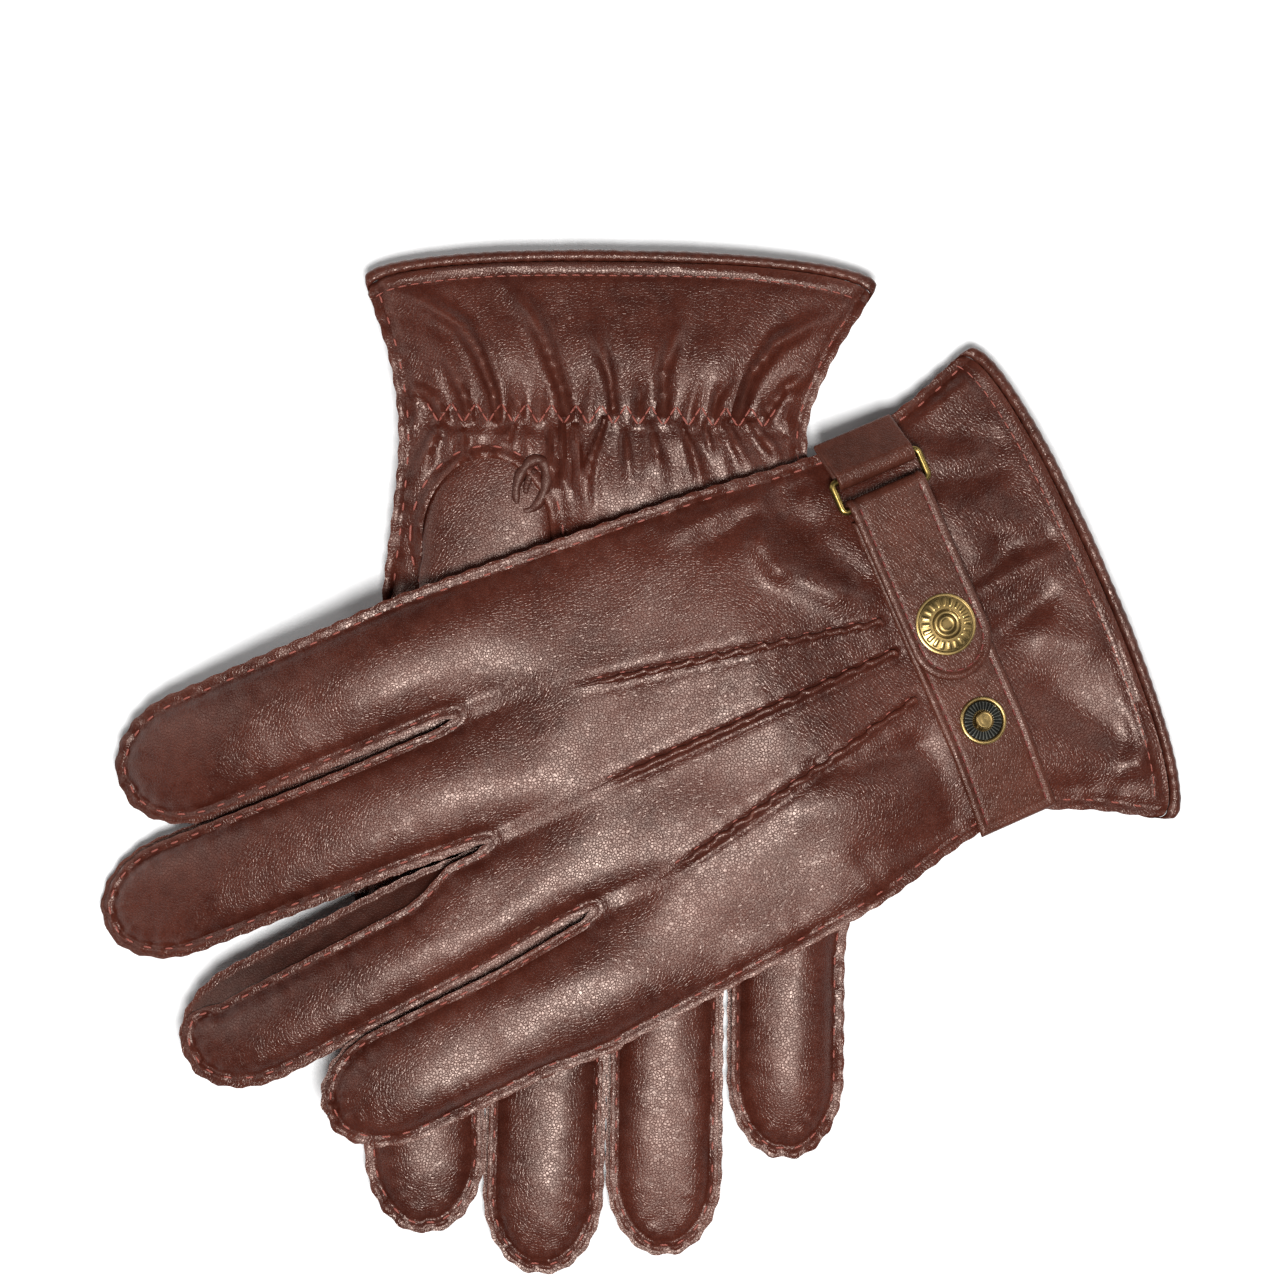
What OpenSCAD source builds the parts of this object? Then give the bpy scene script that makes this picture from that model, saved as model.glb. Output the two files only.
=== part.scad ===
// A pair of lined leather dress gloves, laid one across the other.
// The left glove lies on top with its back up; the right glove lies beneath it, palm up.
// Both are cut from one pattern. Each glove is drawn with its back facing +Z and its fingers
// along +Y, then turned into place; the right one is mirrored so that its palm faces up.

/* [Pattern] */
// Length of the wrist-side hand panels, cuff corner to the fork of index and middle finger
knuckle_y = 147.2; // [140:0.1:155]
// Half width of the cuff
cuff_half = 61.5; // [58:0.5:64]
// How far the left cuff edge bows outwards
left_bow = 11; // [6:0.5:12]
// How far the right cuff edge bows outwards
right_bow = 9; // [6:0.5:12]
// Half thickness of the filled-out hand, over its leather
crown = 5.5; // [5.4:0.05:5.6]
// Width of the prick-stitched flange round each finger, as a share of the finger's width
flange = 0.075; // [0.06:0.005:0.09]

/* [Leather and lining] */
// Leather thickness
leather = 1.0; // [0.8:0.1:1.1]
// Lining thickness
lining = 0.8; // [0.6:0.1:0.9]

/* [Wrist strap] */
// Strap thickness
strap_t = 1.2; // [1:0.05:1.25]
// Strap width
strap_w = 20.6; // [19:0.1:20.8]
// Distance of the strap's centre line from the cuff corners
strap_y = 33.3; // [32.8:0.1:33.8]
// Radius of the ring's wire
wire_r = 0.9; // [0.8:0.05:0.9]
// Place of the ring bar that the strap turns round
strap_bar_x = 37; // [36.5:0.1:37.2]
// Place of the ring bar that the keeper tab holds
tab_bar_x = 44.5; // [44.3:0.1:45]

/* [Press fastener] */
// Diameter of the domed cap
cap_d = 15; // [14.5:0.1:15.5]
// Place of the cap along the strap
cap_x = 3; // [2:0.5:4]
// Place of the spare stud along the strap
spare_stud_x = -21.8; // [-23:0.1:-21]
// Diameter of the stud's ball
ball_d = 4.3; // [4:0.1:4.4]

/* [Lay of the pair] */
// Turn of the left glove about the vertical
left_turn = 113.4; // [112:0.1:115]
// Turn of the right glove about the vertical
right_turn = 179; // [178:0.1:180]
// Height of the left glove's middle where it crosses the right glove
left_high = 24.6; // [24.5:0.1:26]

/* [Hidden] */
LEFT = 1;
RIGHT = -1;
BACK = 1;
PALM = -1;
left_at = [102.3, 42.6];
right_at = [-5, 114.6];

// Side seams: distance from the cuff corners, then distance from the glove's centre line
thumb_side = [[0, cuff_half], [20, 54.8], [40, 52.6], [75, 56], [148, 61.4]];
little_side = [[0, -cuff_half], [18, -51], [36, -45.6], [75, -52.8], [148, -59.2]];
// Ends of the finger bases: index side, three forks, little-finger side
forks = [[61.4, 148], [29.2, knuckle_y], [-1.3, 152.2], [-26.3, 135.6], [-59.2, 141]];
// Fingertips, index to little: x, y and width of the finger
left_tips = [[45.8, 228.4, 31.5], [17, 245.3, 29], [-20.3, 239.5, 29.5], [-46.4, 213.5, 29]];
right_tips = [[43, 229, 29], [15, 238.5, 29], [-14.5, 233.5, 28], [-43.5, 209.5, 28]];
tip_round = 20;
tip_blunt = 0.2;

edge_out = 1.05;
edge_in = 4;
gap = 0.3;
hand_inset = 7.5;
finger_inset = 4;
tip_inset = 7.5;
back_liner_crown = crown - leather - 0.7;
palm_liner_crown = crown - leather - 1.1;

// Wrist-frame heights above the glove's middle plane
strap_z = crown + gap;
bar_gap = 0.25;
bar_z = strap_z + strap_t + bar_gap + wire_r;
flap_z = bar_z + wire_r + bar_gap;
cap_z = flap_z + strap_t;
cap_h = 1.8;
wrap_r = wire_r + bar_gap + strap_t;
fold_skive = 0.3;  // the flap's leather is thinned by this much where it folds round the bar

// Press fastener: rivet posts, stud and socket under the flap
post_r = 1.5;
stud_r = 5.8;
stud_base = 0.4;
stud_top = flap_z - strap_z - strap_t - bar_gap;
socket_r = 4.4;
socket_t = flap_z - strap_z - strap_t - stud_base - bar_gap;
ball_gap = 0.2;

// Heights of each glove's middle surface over the table
left_low = 6;
ramp_end = 72;
droop_start = 150;
droop_run = 95;
droop_depth = 17;
droop_lean = 0.22;
right_low = 6.6;
right_high = cap_z + cap_h;
right_rise = [-7, 16, 4];
right_fall = [53, 73, 6];
tip_low = 6;
tip_run = 60;

thumb_hole = [31, 61];
thumb_hole_r = [15.5, 19];
left_thumb_turn = 55;
right_thumb_turn = -6;
thumb_len = 72;
thumb_w = 29;

GLOVE_PIECES = ["back_panel", "palm_panel", "thumb", "fourchette_index_middle",
    "fourchette_middle_ring", "fourchette_ring_little", "back_lining", "palm_lining",
    "cuff_binding", "wrist_elastic", "elastic_stitching", "back_points", "strap_base",
    "keeper_tab", "strap_ring", "strap_flap", "snap_cap", "snap_socket", "snap_studs"];

// ---- small helpers -------------------------------------------------------------------------

function mix(a, b, t) = a + (b - a) * t;
function clamp01(x) = min(max(x, 0), 1);
function smooth(x) = let (c = clamp01(x)) c * c * (3 - 2 * c);
// A ramp from 0 with a rounded corner of half length r
function soft(x, r) = x <= -r ? 0 : x >= r ? x : pow(x + r, 2) / (4 * r);
// 0 before a, 1 after b, straight between, with rounded corners
function rise(y, a, b, r) = (soft(y - a, r) - soft(y - b, r)) / (b - a);

function slope(p, i) = let (a = max(i - 1, 0), b = min(i + 1, len(p) - 1))
    (p[b][1] - p[a][1]) / (p[b][0] - p[a][0]);
function segment(p, y, i = 0) = i >= len(p) - 2 || y < p[i + 1][0] ? i : segment(p, y, i + 1);
// Smooth curve through the points [y, x], straight beyond its ends
function curve(p, y) = let (i = segment(p, y), h = p[i + 1][0] - p[i][0],
        t = clamp01((y - p[i][0]) / h), last = len(p) - 1)
    (2 * pow(t, 3) - 3 * t * t + 1) * p[i][1] + (pow(t, 3) - 2 * t * t + t) * h * slope(p, i)
    + (3 * t * t - 2 * pow(t, 3)) * p[i + 1][1] + (pow(t, 3) - t * t) * h * slope(p, i + 1)
    + min(y - p[0][0], 0) * slope(p, 0) + max(y - p[last][0], 0) * slope(p, last);

// ---- the glove's shape ---------------------------------------------------------------------

// Height of the glove's middle surface over the table
function middle(g, x, y) = g == LEFT
    ? left_low + (left_high - left_low) * rise(y, 0, ramp_end, 10)
        - (droop_depth + droop_lean * x) * pow(max(y - droop_start, 0) / droop_run, 2)
    : right_low + (right_high - right_low) * (rise(y, right_rise[0], right_rise[1], right_rise[2])
            - rise(y, right_fall[0], right_fall[1], right_fall[2]))
        - (right_low - tip_low) * smooth((y - droop_start) / tip_run);

// Across-the-hand profile, 0 at the side seams and 1 in the middle; f runs 0 to 1
function hand_bulge(f) = 1 - pow(min(abs(2 * f - 1) / 0.96, 1), 3.5);
function finger_bulge(t) = 1 - pow(min(abs(2 * t - 1) / (1 - 2 * flange), 1), 2.4);

// Height of a finger's edges: apart where a fourchette joins them, together at the tip
function inner_edge(c, s) = mix(c[1], c[0], smooth((s - 0.6) / 0.35));
function finger_edge(c, k, t, s) = mix(k == 0 ? c[0] : inner_edge(c, s),
    k == 3 ? c[0] : inner_edge(c, s), t);
function finger_height(c, top, k, t, s) = let (e = finger_edge(c, k, t, s),
        end = 1 - pow(clamp01((s - 0.55) / 0.42), 2.4))
    mix(e, top, finger_bulge(t) * end);
// c holds the outer and inner edge heights, top the height of the crown
function hand_height(c, top, k, t, f, v) = mix(mix(c[0], top, hand_bulge(f)),
    finger_height(c, top, k, t, 0), smooth((v - 0.8) / 0.2));

function knuckle(k, t, drop) = mix(forks[k], forks[k + 1], t) - [0, drop];
function bow(g) = g == LEFT ? left_bow : right_bow;
function tips(g) = g == LEFT ? left_tips : right_tips;

// A point of the hand: finger column k, share t across that column, share v of the way up
function hand_point(g, k, t, v, inset, drop) = let (f0 = (k + t) / 4, base = knuckle(k, t, drop),
        cuff = -bow(g) * pow(max(1 - pow(2 * f0 - 1, 2), 0), 0.4),
        y = mix(cuff, base[1], v),
        fk = (forks[0][0] - base[0]) / (forks[0][0] - forks[4][0]),
        f = mix(f0, fk, v))
    [mix(curve(thumb_side, y) - inset, curve(little_side, y) + inset, f), y, f];

// A point of finger k: share t across it, share s of the way to its tip
function finger_point(g, k, t, s, inset, drop, skew) = let (tip = tips(g)[k],
        a = forks[k] - [k == 0 ? inset[0] : 0, drop],
        b = forks[k + 1] - [k == 3 ? -inset[0] : 0, drop],
        root = (forks[k] + forks[k + 1]) / 2 - [0, drop],
        end = [tip[0], tip[1] - inset[2]], l = norm(end - root),
        dir = (end - root) / l, side = [dir[1], -dir[0]],
        shoulder = 1 - tip_round / l, u = clamp01((s - shoulder) / (1 - shoulder)),
        q = smooth(s / skew), r = sqrt(1 - (1 - tip_blunt * tip_blunt) * u * u))
    root + (end - root) * s + mix(mix(a, b, t) - root, side * (tip[2] / 2 - inset[1]) * (1 - 2 * t), q) * r;

// ---- sheets that follow the glove ----------------------------------------------------------

// A sheet's description: crown height, thickness, insets at the hand's sides, the finger's sides
// and the tip, fork drop, share of a finger over which its base straightens, edge heights, columns
// across one finger, rows of the hand, rows of a finger
hand_rows = [0.019, 0.08, 0.14, 0.2, 0.36, 0.405, 0.45, 0.495, 0.54, 0.68, 0.8, 0.9, 1];
leather_sheet = [crown, leather, [0, 0, 0], 0, 0.35, [edge_out, edge_in],
    [0, flange, 0.22, 0.5, 0.78, 1 - flange, 1],
    hand_rows, [0.12, 0.28, 0.45, 0.62, 0.76, 0.86, 0.93, 0.97, 1]];
function liner_sheet(top) = [top, lining, [hand_inset, finger_inset, tip_inset], 8, 0.09, [0.95, 2.6],
    [0, 0.2, 0.5, 0.8, 1], hand_rows, [0.1, 0.3, 0.5, 0.68, 0.82, 0.92, 1]];

function grid_point(g, sheet, i, k, j) = let (rows = sheet[7], m = len(rows) - 1, t = sheet[6][j])
    i <= m
    ? let (p = hand_point(g, k, t, rows[i], sheet[2][0], sheet[3]))
        [p[0], p[1], hand_height(sheet[5], sheet[0], k, t, p[2], rows[i])]
    : let (s = sheet[8][i - m - 1], p = finger_point(g, k, t, s, sheet[2], sheet[3], sheet[4]))
        [p[0], p[1], finger_height(sheet[5], sheet[0], k, t, s)];
function lifted(g, side, p, depth) = [p[0], p[1], side * (p[2] - depth) + g * middle(g, p[0], p[1])];

// One hand panel with its four fingers, as a closed sheet. Cells with both indices inside the
// window [first row, last row, first column, last column] are left out, as the thumb hole is.
module hand_sheet(g, side, sheet, window = [0, -1, 0, -1]) {
    across = len(sheet[6]) - 1;
    hand_rows = len(sheet[7]) - 1;
    rows = hand_rows + len(sheet[8]);
    palm_count = (hand_rows + 1) * (4 * across + 1);
    keys = concat([for (i = [0:hand_rows], c = [0:4 * across]) let (k = min(floor(c / across), 3))
            [i, k, c - k * across]],
        [for (i = [hand_rows + 1:rows], k = [0:3], j = [0:across]) [i, k, j]]);
    n = len(keys);
    function id(i, k, j) = i <= hand_rows ? i * (4 * across + 1) + k * across + j
        : palm_count + (i - hand_rows - 1) * 4 * (across + 1) + k * (across + 1) + j;
    function open(i, c) = i >= window[0] && i <= window[1] && c >= window[2] && c <= window[3];
    function cell(i, c) = i >= 0 && i < rows && c >= 0 && c < 4 * across && !open(i, c);
    function joined(i, c, d) = cell(i, c) && (i < hand_rows || (c - min(d, 0)) % across != 0);
    outer = [for (q = keys) lifted(g, side, grid_point(g, sheet, q[0], q[1], q[2]), 0)];
    inner = [for (q = keys) lifted(g, side, grid_point(g, sheet, q[0], q[1], q[2]), sheet[1])];
    faces = [for (i = [0:rows - 1], c = [0:4 * across - 1]) if (cell(i, c))
        let (k = floor(c / across), j = c - k * across,
            a = id(i, k, j), b = id(i, k, j + 1), d = id(i + 1, k, j + 1), e = id(i + 1, k, j))
        each [
            each [[a, b, d], [a, d, e], [a + n, d + n, b + n], [a + n, e + n, d + n]],
            each (cell(i - 1, c) ? [] : [[a, b + n, b], [a, a + n, b + n]]),
            each (cell(i + 1, c) ? [] : [[e, d, d + n], [e, d + n, e + n]]),
            each (joined(i, c - 1, -1) ? [] : [[a, e, e + n], [a, e + n, a + n]]),
            each (joined(i, c + 1, 1) ? [] : [[b, d + n, d], [b, b + n, d + n]])]];
    polyhedron(concat(outer, inner), [for (f = faces) side == BACK ? f : [f[0], f[2], f[1]]]);
}

// A closed slab between two grids of points with the same rows and columns
module slab(top, bottom) {
    rows = len(top);
    cols = len(top[0]);
    n = rows * cols;
    points = concat([for (row = top, p = row) p], [for (row = bottom, p = row) p]);
    quads = concat(
        [for (i = [0:rows - 2], j = [0:cols - 2]) let (a = i * cols + j)
            each [[a, a + 1, a + cols + 1, a + cols],
                [a + n, a + cols + n, a + cols + 1 + n, a + 1 + n]]],
        [for (j = [0:cols - 2]) let (b = (rows - 1) * cols + j)
            each [[j, j + n, j + 1 + n, j + 1], [b, b + 1, b + 1 + n, b + n]]],
        [for (i = [0:rows - 2]) let (a = i * cols, b = i * cols + cols - 1)
            each [[a, a + cols, a + cols + n, a + n], [b, b + n, b + cols + n, b + cols]]]);
    polyhedron(points, [for (q = quads) each [[q[0], q[1], q[2]], [q[0], q[2], q[3]]]]);
}

// A point at [x, y] raised by h over the hand's outer leather on the given side
function over_hand(g, side, x, y, h) = let (f = (curve(thumb_side, y) - x)
        / (curve(thumb_side, y) - curve(little_side, y)))
    [x, y, side * (mix(edge_out, crown, hand_bulge(f)) + h) + g * middle(g, x, y)];

// ---- placing -------------------------------------------------------------------------------

module place(g) {
    at = g == LEFT ? left_at : right_at;
    translate([at[0], at[1], 0]) rotate(g == LEFT ? left_turn : right_turn)
        mirror([0, 0, g == LEFT ? 0 : 1]) children();
}

// The wrist frame: X to the thumb side, Y to the fingers, Z out of the back, with its origin on
// the strap's centre line in the glove's middle plane
wrist_tilt = atan((left_high - left_low) / ramp_end);
module at_wrist(g) {
    place(g) translate([0, strap_y, g * middle(g, 0, strap_y)])
        rotate([g == LEFT ? wrist_tilt : 0, 0, 0]) children();
}

// ---- leather shell -------------------------------------------------------------------------

module back_panel(g) color([0.32, 0.15, 0.11]) place(g) hand_sheet(g, BACK, leather_sheet);

module palm_panel(g) color([0.30, 0.14, 0.10]) place(g)
    hand_sheet(g, PALM, leather_sheet, [4, 7, 3, 7]);

// The side strip between two fingers: down one finger, round the fork and up the next
module fourchette(g, k) {
    stations = [0.86, 0.75, 0.6, 0.42, 0.25, 0.1];
    near = 0.035;
    far = 0.062;
    function wall(t, s) = let (finger = k + (t < 0.5 ? 1 : 0),
            p = finger_point(g, finger, t, s, [0, 0, 0], 0, 0.35),
            h = finger_edge([edge_out, edge_in], finger, t, s) - leather - 0.15)
        [p[0], p[1], h];
    function at_fork(d) = [forks[k + 1][0], forks[k + 1][1] - d, edge_in - leather - 0.15];
    function path(t, d) = concat([for (s = stations) wall(1 - t, s)], [at_fork(d)],
        [for (i = [len(stations) - 1:-1:0]) wall(t, stations[i])]);
    function column(p) = [for (side = [1, -1]) [p[0], p[1], side * p[2] + g * middle(g, p[0], p[1])]];
    color([0.27, 0.12, 0.09]) place(g)
        slab([for (p = path(far, 2.4)) column(p)], [for (p = path(near, 1.5)) column(p)]);
}

// The thumb: a flattened tube that grows out of the hole in the palm and lies along it
module thumb(g) {
    stations = [0, 0.08, 0.18, 0.3, 0.5, 0.7, 0.84, 0.93, 0.98, 1];
    around = 12;
    turn = g == LEFT ? left_thumb_turn : right_thumb_turn;
    dir = [-sin(turn), cos(turn)];
    side = [cos(turn), sin(turn)];
    function ring(s, wall) = [for (q = [0:around - 1]) let (w = 360 * q / around,
            hole = thumb_hole + [(thumb_hole_r[0] - wall) * cos(w), -(thumb_hole_r[1] - wall) * sin(w)],
            mouth = over_hand(g, PALM, hole[0], hole[1], 0.15),
            end = sqrt(max(1 - pow(clamp01((s - 0.72) / 0.28), 2), 0.03)),
            half = max((thumb_w / 2 - wall) * end, 0.4),
            thick = mix(2.4, 3.3, smooth(s / 0.4)) * (0.4 + 0.6 * end),
            lie = thumb_hole + dir * thumb_len * s + side * half * cos(w),
            under = mix(lie, thumb_hole + dir * thumb_len * s, smooth(s / 0.5)),
            level = g * middle(g, under[0], under[1]) - crown - gap - thick,
            tube = [lie[0], lie[1], level - max(thick - wall, 0.3) * sin(w)])
        mix(mouth, tube, smooth(s / 0.18))];
    function row(wall) = [for (s = stations) ring(wall == 0 ? s : min(s, 0.985), wall)];
    outer = row(0);
    inner = row(0.9);
    rows = len(stations);
    n = rows * around;
    last = (rows - 1) * around;
    points = concat([for (r = outer, p = r) p], [for (r = inner, p = r) p]);
    quads = concat([for (i = [0:rows - 2], j = [0:around - 1]) let (a = i * around + j,
            b = i * around + (j + 1) % around)
            each [[a, a + around, b + around, b], [a + n, b + n, b + around + n, a + around + n]]],
        [for (j = [0:around - 1]) let (b = (j + 1) % around) [j, b, b + n, j + n]]);
    caps = [for (j = [1:around - 2]) each [[last, last + j + 1, last + j],
        [last + n, last + j + n, last + j + 1 + n]]];
    color([0.30, 0.14, 0.10]) place(g)
        polyhedron(points, concat([for (q = quads) each [[q[0], q[1], q[2]], [q[0], q[2], q[3]]]], caps));
}

module cuff_binding(g) {
    rows = [0, 0.007, 0.016];
    puff = [-0.4, 0.4, 0];
    roll_t = 2.4;
    least = 0.06;
    across = leather_sheet[6];
    function roll(side, depth) = [for (i = [0:2]) [for (k = [0:3], t = across) if (t < 1 || k == 3)
        let (p = hand_point(g, k, t, rows[i], 0, 0), h = mix(edge_out, crown, hand_bulge(p[2])))
        [p[0], p[1], side * (depth ? max(h - roll_t, least) : h + puff[i]) + g * middle(g, p[0], p[1])]]];
    color([0.25, 0.11, 0.08]) place(g) {
        slab(roll(BACK, false), roll(BACK, true));
        slab(roll(PALM, true), roll(PALM, false));
    }
}

// Elastic band behind the palm leather, at the gathered line
module wrist_elastic(g) {
    steps = 14;
    function strip(depth) = [for (y = [27, 35]) [for (j = [0:steps])
        over_hand(g, PALM, mix(36, -29, j / steps), y, -depth)]];
    color([0.75, 0.72, 0.66]) place(g) slab(strip(leather + 0.95), strip(leather + 0.45));
}

// Zigzag row that holds the elastic to the palm
module elastic_stitching(g) {
    turns = 28;
    y_low = 28.6;
    y_high = 33.4;
    points = [for (i = [0:turns]) over_hand(g, PALM, mix(46, -38, i / turns),
        i % 2 == 0 ? y_low : y_high, 0.7)];
    color([0.55, 0.27, 0.22]) place(g) for (i = [0:turns - 1]) {
        d = points[i + 1] - points[i];
        l = norm(d);
        translate(points[i] + d * 0.14) rotate([0, acos(d[2] / l), atan2(d[1], d[0])])
            cylinder(h = l * 0.72, r = 0.3, $fn = 16);
    }
}

// The three raised, stitched points on the back
module back_points(g) {
    lines = [[[10.3, 48], [25, 121]], [[1.5, 48], [0.3, 125]], [[-11.5, 48], [-26, 119]]];
    steps = 14;
    function rib(l, h) = [for (i = [0:steps]) let (p = mix(l[0], l[1], i / steps))
        [for (side = [1, 0, -1])
            over_hand(g, BACK, p[0] + 0.8 * side, p[1], h == 0 ? 0.15 : side == 0 ? h : 0.45)]];
    color([0.36, 0.18, 0.14]) place(g) for (l = lines) slab(rib(l, 1.0), rib(l, 0));
}

module back_lining(g) color([0.45, 0.33, 0.27]) place(g)
    hand_sheet(g, BACK, liner_sheet(back_liner_crown));

module palm_lining(g) color([0.43, 0.31, 0.25]) place(g)
    hand_sheet(g, PALM, liner_sheet(palm_liner_crown), [4, 7, 2, 4]);

// ---- wrist strap ---------------------------------------------------------------------------

// Extrudes a side profile, drawn in X and Z, across the strap
module across_strap(width) rotate([90, 0, 0])
    linear_extrude(width, center = true) children();

module strap_base(g) {
    end_x = strap_bar_x - wrap_r - 2 * gap;
    bend_x = -28;
    seam = [-46.5, 1.3];
    color([0.31, 0.15, 0.11]) at_wrist(g) difference() {
        across_strap(strap_w) polygon([[end_x, strap_z], [bend_x, strap_z], seam,
            seam + [0, strap_t], [bend_x, strap_z + strap_t], [end_x, strap_z + strap_t]]);
        for (x = [cap_x, spare_stud_x]) translate([x, 0, strap_z - 1])
            cylinder(h = strap_t + 2, r = post_r + 0.05, $fn = 32);
    }
}

module keeper_tab(g) {
    seam_x = 54;
    color([0.31, 0.15, 0.11]) at_wrist(g) across_strap(strap_w) difference() {
        union() {
            translate([tab_bar_x, bar_z]) circle(r = wrap_r, $fn = 48);
            polygon([[tab_bar_x, bar_z - wrap_r], [seam_x, 1.3], [seam_x, 3.7],
                [tab_bar_x, bar_z + wrap_r]]);
        }
        translate([tab_bar_x, bar_z]) circle(r = wire_r + bar_gap, $fn = 48);
    }
}

module strap_ring(g) {
    end_y = strap_w / 2 + 0.4 + wire_r;
    corner = 1.2;
    long = 2 * (end_y - corner);
    short = tab_bar_x - strap_bar_x - 2 * corner;
    color([0.62, 0.47, 0.25]) at_wrist(g) translate([0, 0, bar_z]) {
        for (x = [strap_bar_x, tab_bar_x]) translate([x, 0, 0]) rotate([90, 0, 0])
            cylinder(h = long, r = wire_r, center = true, $fn = 32);
        for (y = [-end_y, end_y]) translate([strap_bar_x + corner, y, 0]) rotate([0, 90, 0])
            cylinder(h = short, r = wire_r, $fn = 32);
        for (c = [[1, 1, 0], [0, 1, 90], [0, 0, 180], [1, 0, 270]])
            translate([c[0] == 1 ? tab_bar_x - corner : strap_bar_x + corner,
                c[1] == 1 ? end_y - corner : corner - end_y, 0])
                rotate(c[2]) rotate_extrude(angle = 90, $fn = 32)
                    translate([corner, 0]) circle(r = wire_r, $fn = 32);
    }
}

module strap_flap(g) {
    nose_r = strap_w / 2;
    nose_x = cap_x - 3.4;
    color([0.33, 0.16, 0.12]) at_wrist(g) {
        difference() {
            translate([0, 0, flap_z]) linear_extrude(strap_t) union() {
                translate([nose_x, 0]) circle(r = nose_r, $fn = 64);
                translate([nose_x, -nose_r]) square([strap_bar_x - nose_x, strap_w]);
            }
            translate([cap_x, 0, flap_z - 1])
                cylinder(h = strap_t + 2, r = post_r + 0.05, $fn = 32);
        }
        across_strap(strap_w) difference() {
            hull() {
                translate([strap_bar_x, bar_z]) circle(r = wrap_r - fold_skive, $fn = 48);
                translate([strap_bar_x, bar_z + wrap_r - 1]) circle(r = 1, $fn = 48);
            }
            translate([strap_bar_x, bar_z]) circle(r = wire_r + bar_gap, $fn = 48);
            translate([strap_bar_x - 2 * wrap_r, bar_z - wrap_r]) square([2 * wrap_r, 2 * wrap_r]);
        }
    }
}

// ---- press fastener ------------------------------------------------------------------------

// Domed cap with a flat middle, a raised inner ring and a rolled rim, and its rivet post
module snap_cap(g) {
    flat_r = 2.6;
    dome = [for (i = [0:8]) let (w = 90 * i / 8)
        [flat_r + (cap_d / 2 - flat_r) * cos(w), 0.5 + (cap_h - 0.75) * sin(w)]];
    color([0.60, 0.46, 0.25]) at_wrist(g) translate([cap_x, 0, cap_z + 0.02]) {
        rotate_extrude($fn = 64) polygon(concat([[0, 0], [cap_d / 2 - 0.3, 0], [cap_d / 2, 0.25]],
            dome, [[flat_r, cap_h - 0.02], [0, cap_h - 0.02]]));
        translate([0, 0, -strap_t]) cylinder(h = strap_t + 0.2, r = post_r, $fn = 32);
    }
}

// The hidden half of the fastener, riveted under the flap
module snap_socket(g) color([0.58, 0.45, 0.26]) at_wrist(g)
    translate([cap_x, 0, flap_z - 0.02 - socket_t]) difference() {
        cylinder(h = socket_t, r = socket_r, $fn = 48);
        translate([0, 0, -1]) cylinder(h = socket_t + 2, r = ball_d / 2 + ball_gap, $fn = 48);
    }

// The two studs on the strap: one under the cap and a spare beside it
module snap_studs(g) {
    well_r = socket_r + 0.4;
    color([0.55, 0.43, 0.26]) at_wrist(g) for (x = [cap_x, spare_stud_x])
        translate([x, 0, strap_z + strap_t + 0.02]) {
            rotate_extrude($fn = 48) polygon([[0, 0], [stud_r - 0.2, 0], [stud_r, 0.3],
                [stud_r - 0.2, 1], [well_r + 0.2, 1], [well_r, stud_base - 0.05],
                [1.7, stud_base - 0.05], [1.7, 0.9], [ball_d / 2, 1.3], [ball_d / 2, 1.6],
                [1.4, stud_top], [0, stud_top]]);
            translate([0, 0, -strap_t]) cylinder(h = strap_t + 0.2, r = post_r, $fn = 32);
        }
}

// ---- the pair ------------------------------------------------------------------------------

module glove_piece(g, name) {
    if (name == "back_panel") back_panel(g);
    if (name == "palm_panel") palm_panel(g);
    if (name == "thumb") thumb(g);
    if (name == "fourchette_index_middle") fourchette(g, 0);
    if (name == "fourchette_middle_ring") fourchette(g, 1);
    if (name == "fourchette_ring_little") fourchette(g, 2);
    if (name == "back_lining") back_lining(g);
    if (name == "palm_lining") palm_lining(g);
    if (name == "cuff_binding") cuff_binding(g);
    if (name == "wrist_elastic") wrist_elastic(g);
    if (name == "elastic_stitching") elastic_stitching(g);
    if (name == "back_points") back_points(g);
    if (name == "strap_base") strap_base(g);
    if (name == "keeper_tab") keeper_tab(g);
    if (name == "strap_ring") strap_ring(g);
    if (name == "strap_flap") strap_flap(g);
    if (name == "snap_cap") snap_cap(g);
    if (name == "snap_socket") snap_socket(g);
    if (name == "snap_studs") snap_studs(g);
}

for (piece = GLOVE_PIECES) {
    glove_piece(LEFT, piece);
    glove_piece(RIGHT, piece);
}
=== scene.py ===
"""A pair of leather dress gloves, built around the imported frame. Lengths are in millimetres
in each glove's own frame (back facing +Z, fingers along +Y) until they are placed."""

import math

import bmesh
import bpy
import numpy as np
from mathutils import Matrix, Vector
from mathutils.bvhtree import BVHTree
from mathutils.kdtree import KDTree


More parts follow.
